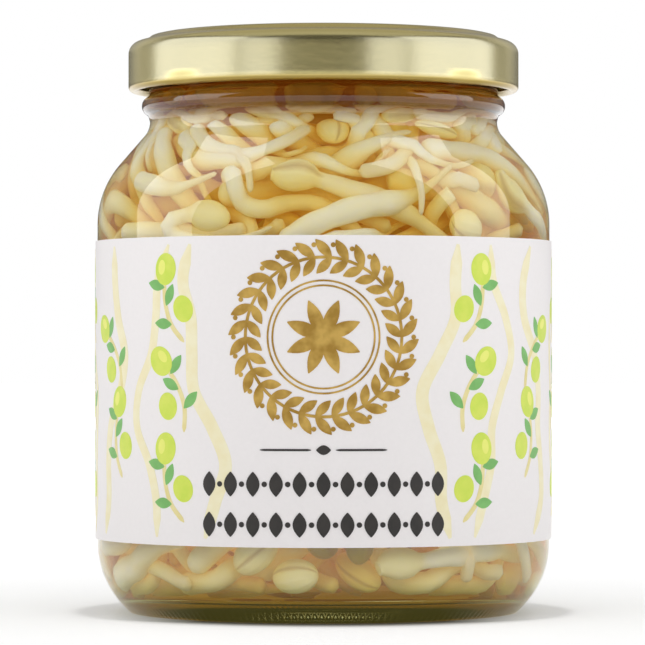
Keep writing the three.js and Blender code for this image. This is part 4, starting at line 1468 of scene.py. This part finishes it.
def extra_sprouts():
    """Straight sprouts at random heights, azimuths and slopes, on shells inside one another."""
    made = []
    for shell, count, first, last in SHELLS:
        for i in range(count):
            z = random_extra.uniform(*ZONES[i % len(ZONES)])
            azimuth = first + (last - first) * ((i * 0.618) % 1.0) + random_extra.uniform(-8, 8)
            lean = random_extra.normal(0, 0.3)
            half = random_extra.uniform(12, 18)
            girth = random_extra.uniform(1.2, 1.8)
            run = math.degrees(half / shell)
            r = min(shell, float(outer_limit(np.float64(z), girth)))
            route = [place(azimuth + t * run, r, np.clip(z + lean * half * t, 8, 86)) for t in FIFTHS]
            made.append(chain_along(np.array(route), {
                "kind": "sprout", "girth": girth, "head": int(random_extra.random() < 0.3),
                "tail": random_extra.uniform(4, 10),
            }))
    return [{"name": f"extra_{i}", "chains": [chain], "ties": []} for i, chain in enumerate(made)]


extras = extra_sprouts()
still = np.concatenate([c["points"] for g in clumps for c in g["chains"]])
still_radii = np.concatenate([c["radii"] for g in clumps for c in g["chains"]])
settle(extras, EXTRA_ROUNDS, (still, still_radii), core=False)
dress(extras, 300)
BATCHES = 8
order = sorted(extras, key=lambda g: g["chains"][0]["points"][:, 2].mean())
for b in range(BATCHES):
    batch = [g["chains"][0] for g in order[b * len(order) // BATCHES : (b + 1) * len(order) // BATCHES]]
    contents.append(make_clump(f"more_sprouts_{b + 1}", batch, "sprout_flesh", flesh_material, (), 24, 10))
print("extra sprouts:", len(extras))

# %% [markdown]
# ## Floor, lights and surroundings
# The photograph was taken on a white table with a large soft light on either side and a dark room
# behind the camera. The lights stand far enough round that they leave the middle of the glass and of
# the lid clear, which is what makes both look round. Paper, lid, glass and sprouts want different
# strengths of light, as a retoucher would give them. Passes could be mixed afterwards, but light
# linking does it in one render: each light names the pieces that it shines on.

# %% Stage
FLOOR_RADIUS = 6000


def make_floor():
    """A wide white disc. Painted shadow makes it darker under the jar and just before its foot, so the base
    stays dark.
    """
    angle = 2 * math.pi * np.arange(96) / 96
    points = FLOOR_RADIUS * np.stack([np.sin(angle), -np.cos(angle), 0 * angle], axis=-1)
    mesh = bpy.data.meshes.new("floor")
    mesh.from_pydata((points * MM).tolist(), [], [list(range(96))])
    floor = bpy.data.objects.new("floor", mesh)
    bpy.context.scene.collection.objects.link(floor)
    floor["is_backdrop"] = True
    material, tree = new_material("white_table")
    place = node(tree, "TexCoord", output="Object")
    # Wiped paint varies in patches of some 25 mm.
    grain = node(tree, "TexNoise", {"Vector": place, "Scale": grains(25)}, output="Fac")
    rough = node(tree, "MapRange", {"Value": grain, "To Min": 0.55, "To Max": 0.65})
    reach = node(tree, "VectorMath", {0: place}, output="Value", operation="LENGTH")
    # Painted shadow: darker within 45 mm of the axis; painted light lifts it towards the sides.
    shade = node(tree, "MapRange", {
        "Value": reach, "From Min": 34.5 * MM, "From Max": 45 * MM,
    }, interpolation_type="SMOOTHSTEP")
    x = node(tree, "SeparateXYZ", {"Vector": place}, output="X")
    aside = node(tree, "Math", {0: x}, operation="ABSOLUTE")
    lit = node(tree, "MapRange", {
        "Value": aside, "From Min": 20 * MM, "From Max": 36 * MM, "To Min": 0.0, "To Max": 0.75,
    })
    shade = node(tree, "Math", {0: shade, 1: lit}, operation="MAXIMUM")
    colour = node(tree, "Mix", {0: shade, 6: linear("#6c6a64"), 7: linear("#f4f4f4")}, 2, data_type="RGBA")
    # The glow near the jar carries the same painted shadow; far off it is an even white.
    near = node(tree, "Math", {0: shade, 1: 0.36}, operation="MULTIPLY")
    far = node(tree, "MapRange", {
        "Value": reach, "From Min": 60 * MM, "From Max": 600 * MM, "To Min": near, "To Max": 1.0,
    })
    surface = node(tree, "BsdfPrincipled", {
        "Base Color": colour, "Roughness": rough, "Specular IOR Level": 0.2,
        "Emission Color": (1.0, 1.0, 1.0, 1.0), "Emission Strength": far,
    })
    node(tree, "OutputMaterial", {"Surface": surface})
    mesh.materials.append(material)
    return floor


def softbox(name, azimuth, distance, height, width, tall, power, only=None, glossy=True, colour="#ffffff"):
    """A rectangular light that faces the jar, in metres and watts, on a group of pieces or on all."""
    data = bpy.data.lights.new(name, "AREA")
    data.shape = "RECTANGLE"
    data.size, data.size_y = width, tall
    data.energy = power
    data.color = linear(colour)[:3]
    light = bpy.data.objects.new(name, data)
    bpy.context.scene.collection.objects.link(light)
    a = math.radians(azimuth)
    light.location = (distance * math.sin(a), -distance * math.cos(a), height)
    to_jar = Vector((0, 0, 0.05)) - light.location
    light.rotation_euler = to_jar.to_track_quat("-Z", "Y").to_euler()
    light.visible_camera = False
    light.visible_transmission = False
    light.visible_glossy = glossy
    if only is not None:
        light.light_linking.receiver_collection = only


def surroundings():
    """A white room seen directly or through the glass; in reflections its camera side is dark."""
    world = bpy.data.worlds.new("studio")
    bpy.context.scene.world = world
    world.use_nodes = True
    tree = world.node_tree
    tree.nodes.clear()
    direction = node(tree, "TexCoord", output="Generated")
    y, z = (node(tree, "SeparateXYZ", {"Vector": direction}, output=axis) for axis in "YZ")
    # Reflections brighten towards the back and the ceiling, and dim again straight behind the jar,
    # which draws the dark line along the glass's edge.
    reflected = node(tree, "MapRange", {
        "Value": y, "From Min": 0.1, "From Max": 0.9, "To Min": 0.04, "To Max": 0.5,
    })
    above = node(tree, "MapRange", {
        "Value": z, "From Min": 0.3, "From Max": 0.9, "To Min": 0.0, "To Max": 0.18,
    })
    reflected = node(tree, "Math", {0: reflected, 1: above}, operation="MAXIMUM")
    edge = node(tree, "MapRange", {
        "Value": y, "From Min": 0.75, "From Max": 0.98, "To Min": 0.5, "To Max": 0.12,
    })
    reflected = node(tree, "Math", {0: reflected, 1: edge}, operation="MINIMUM")
    glossy = node(tree, "LightPath", output="Is Glossy Ray")
    diffuse = node(tree, "LightPath", output="Is Diffuse Ray")
    through = node(tree, "LightPath", output="Is Transmission Ray")
    # Rays bent far aside by the glass meet the dark sides of the room, so its outline shows.
    ahead = node(tree, "MapRange", {
        "Value": y, "From Min": 0.45, "From Max": 0.95, "To Min": 0.05, "To Max": 1.0,
    })
    # The transmission comes last, because a ray through glass counts as glossy as well.
    strength = node(tree, "Mix", {0: glossy, 2: 1.0, 3: reflected}, data_type="FLOAT")
    strength = node(tree, "Mix", {0: diffuse, 2: strength, 3: 0.35}, data_type="FLOAT")
    strength = node(tree, "Mix", {0: through, 2: strength, 3: ahead}, data_type="FLOAT")
    background = node(tree, "Background", {"Color": (1, 1, 1, 1), "Strength": strength})
    node(tree, "OutputWorld", {"Surface": background})


floor = make_floor()
surroundings()


def lit_alone(name, pieces):
    """A group of pieces that some lights shine on alone."""
    group = bpy.data.collections.new(name)
    for piece in pieces:
        group.objects.link(piece)
    return group


lid_only = lit_alone("lid_only", [lid])
glass_only = lit_alone("glass_only", [glass])
paper_only = lit_alone("paper_only", [label, floor, *prints])
contents_only = lit_alone("contents_only", contents)
DAYLIGHT = "#c8d0ff"  # cool light, which a gold lid turns almost white
for side, name in ((-1, "left"), (1, "right")):
    softbox(f"softbox_{name}", side * 84, 1.25, 0.35, 1.6, 1.5, 5.4, paper_only)
    softbox(f"shine_{name}", side * 84, 1.25, 0.35, 1.6, 1.5, 14.0, lid_only, colour=DAYLIGHT)
    if side < 0:
        softbox("panel_front", 0, 1.2, 0.6, 2.6, 0.8, 0.2, lid_only)
    else:
        softbox("panel_back", 180, 1.2, 0.6, 2.6, 0.8, 1.1, lid_only)
    softbox(f"wing_{name}", side * 37, 1.25, 0.2, 0.5, 1.0, 2.2, lid_only, colour=DAYLIGHT)
    softbox(f"veil_{name}", side * 88, 1.3, 0.75, 1.15, 2.8, 27, glass_only)
    for azimuth, power in ((24, 3.0), (90, 1.6), (156, 3.0)):
        softbox(f"fill_{azimuth}_{name}", side * azimuth, 1.2, 0.5, 0.5, 0.5, power, contents_only, False)
softbox("ceiling", 0, 0.01, 1.5, 2.4, 2.4, 6.5, lid_only)
softbox("front", 0, 2.0, 0.5, 0.6, 0.6, 2.2, paper_only, False)
softbox("overhead", 0, 0.35, 1.5, 1.2, 1.2, 5, None, False)
bpy.context.scene.view_settings.view_transform = "Standard"

# %% [markdown]
# ## Shadows through the glass
# A renderer finds it hard to trace a lamp through two bent surfaces, and a sprout would stay dark and
# grainy. Glass and brine let nearly all the light in anyway, so they cast no shadow here.

# %% Let light in
for piece in (glass, brine):
    piece.visible_shadow = False

# %% Size of the dressed jar
low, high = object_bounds()
print("visual box:", [round(v, 4) for v in (*low, *high)])
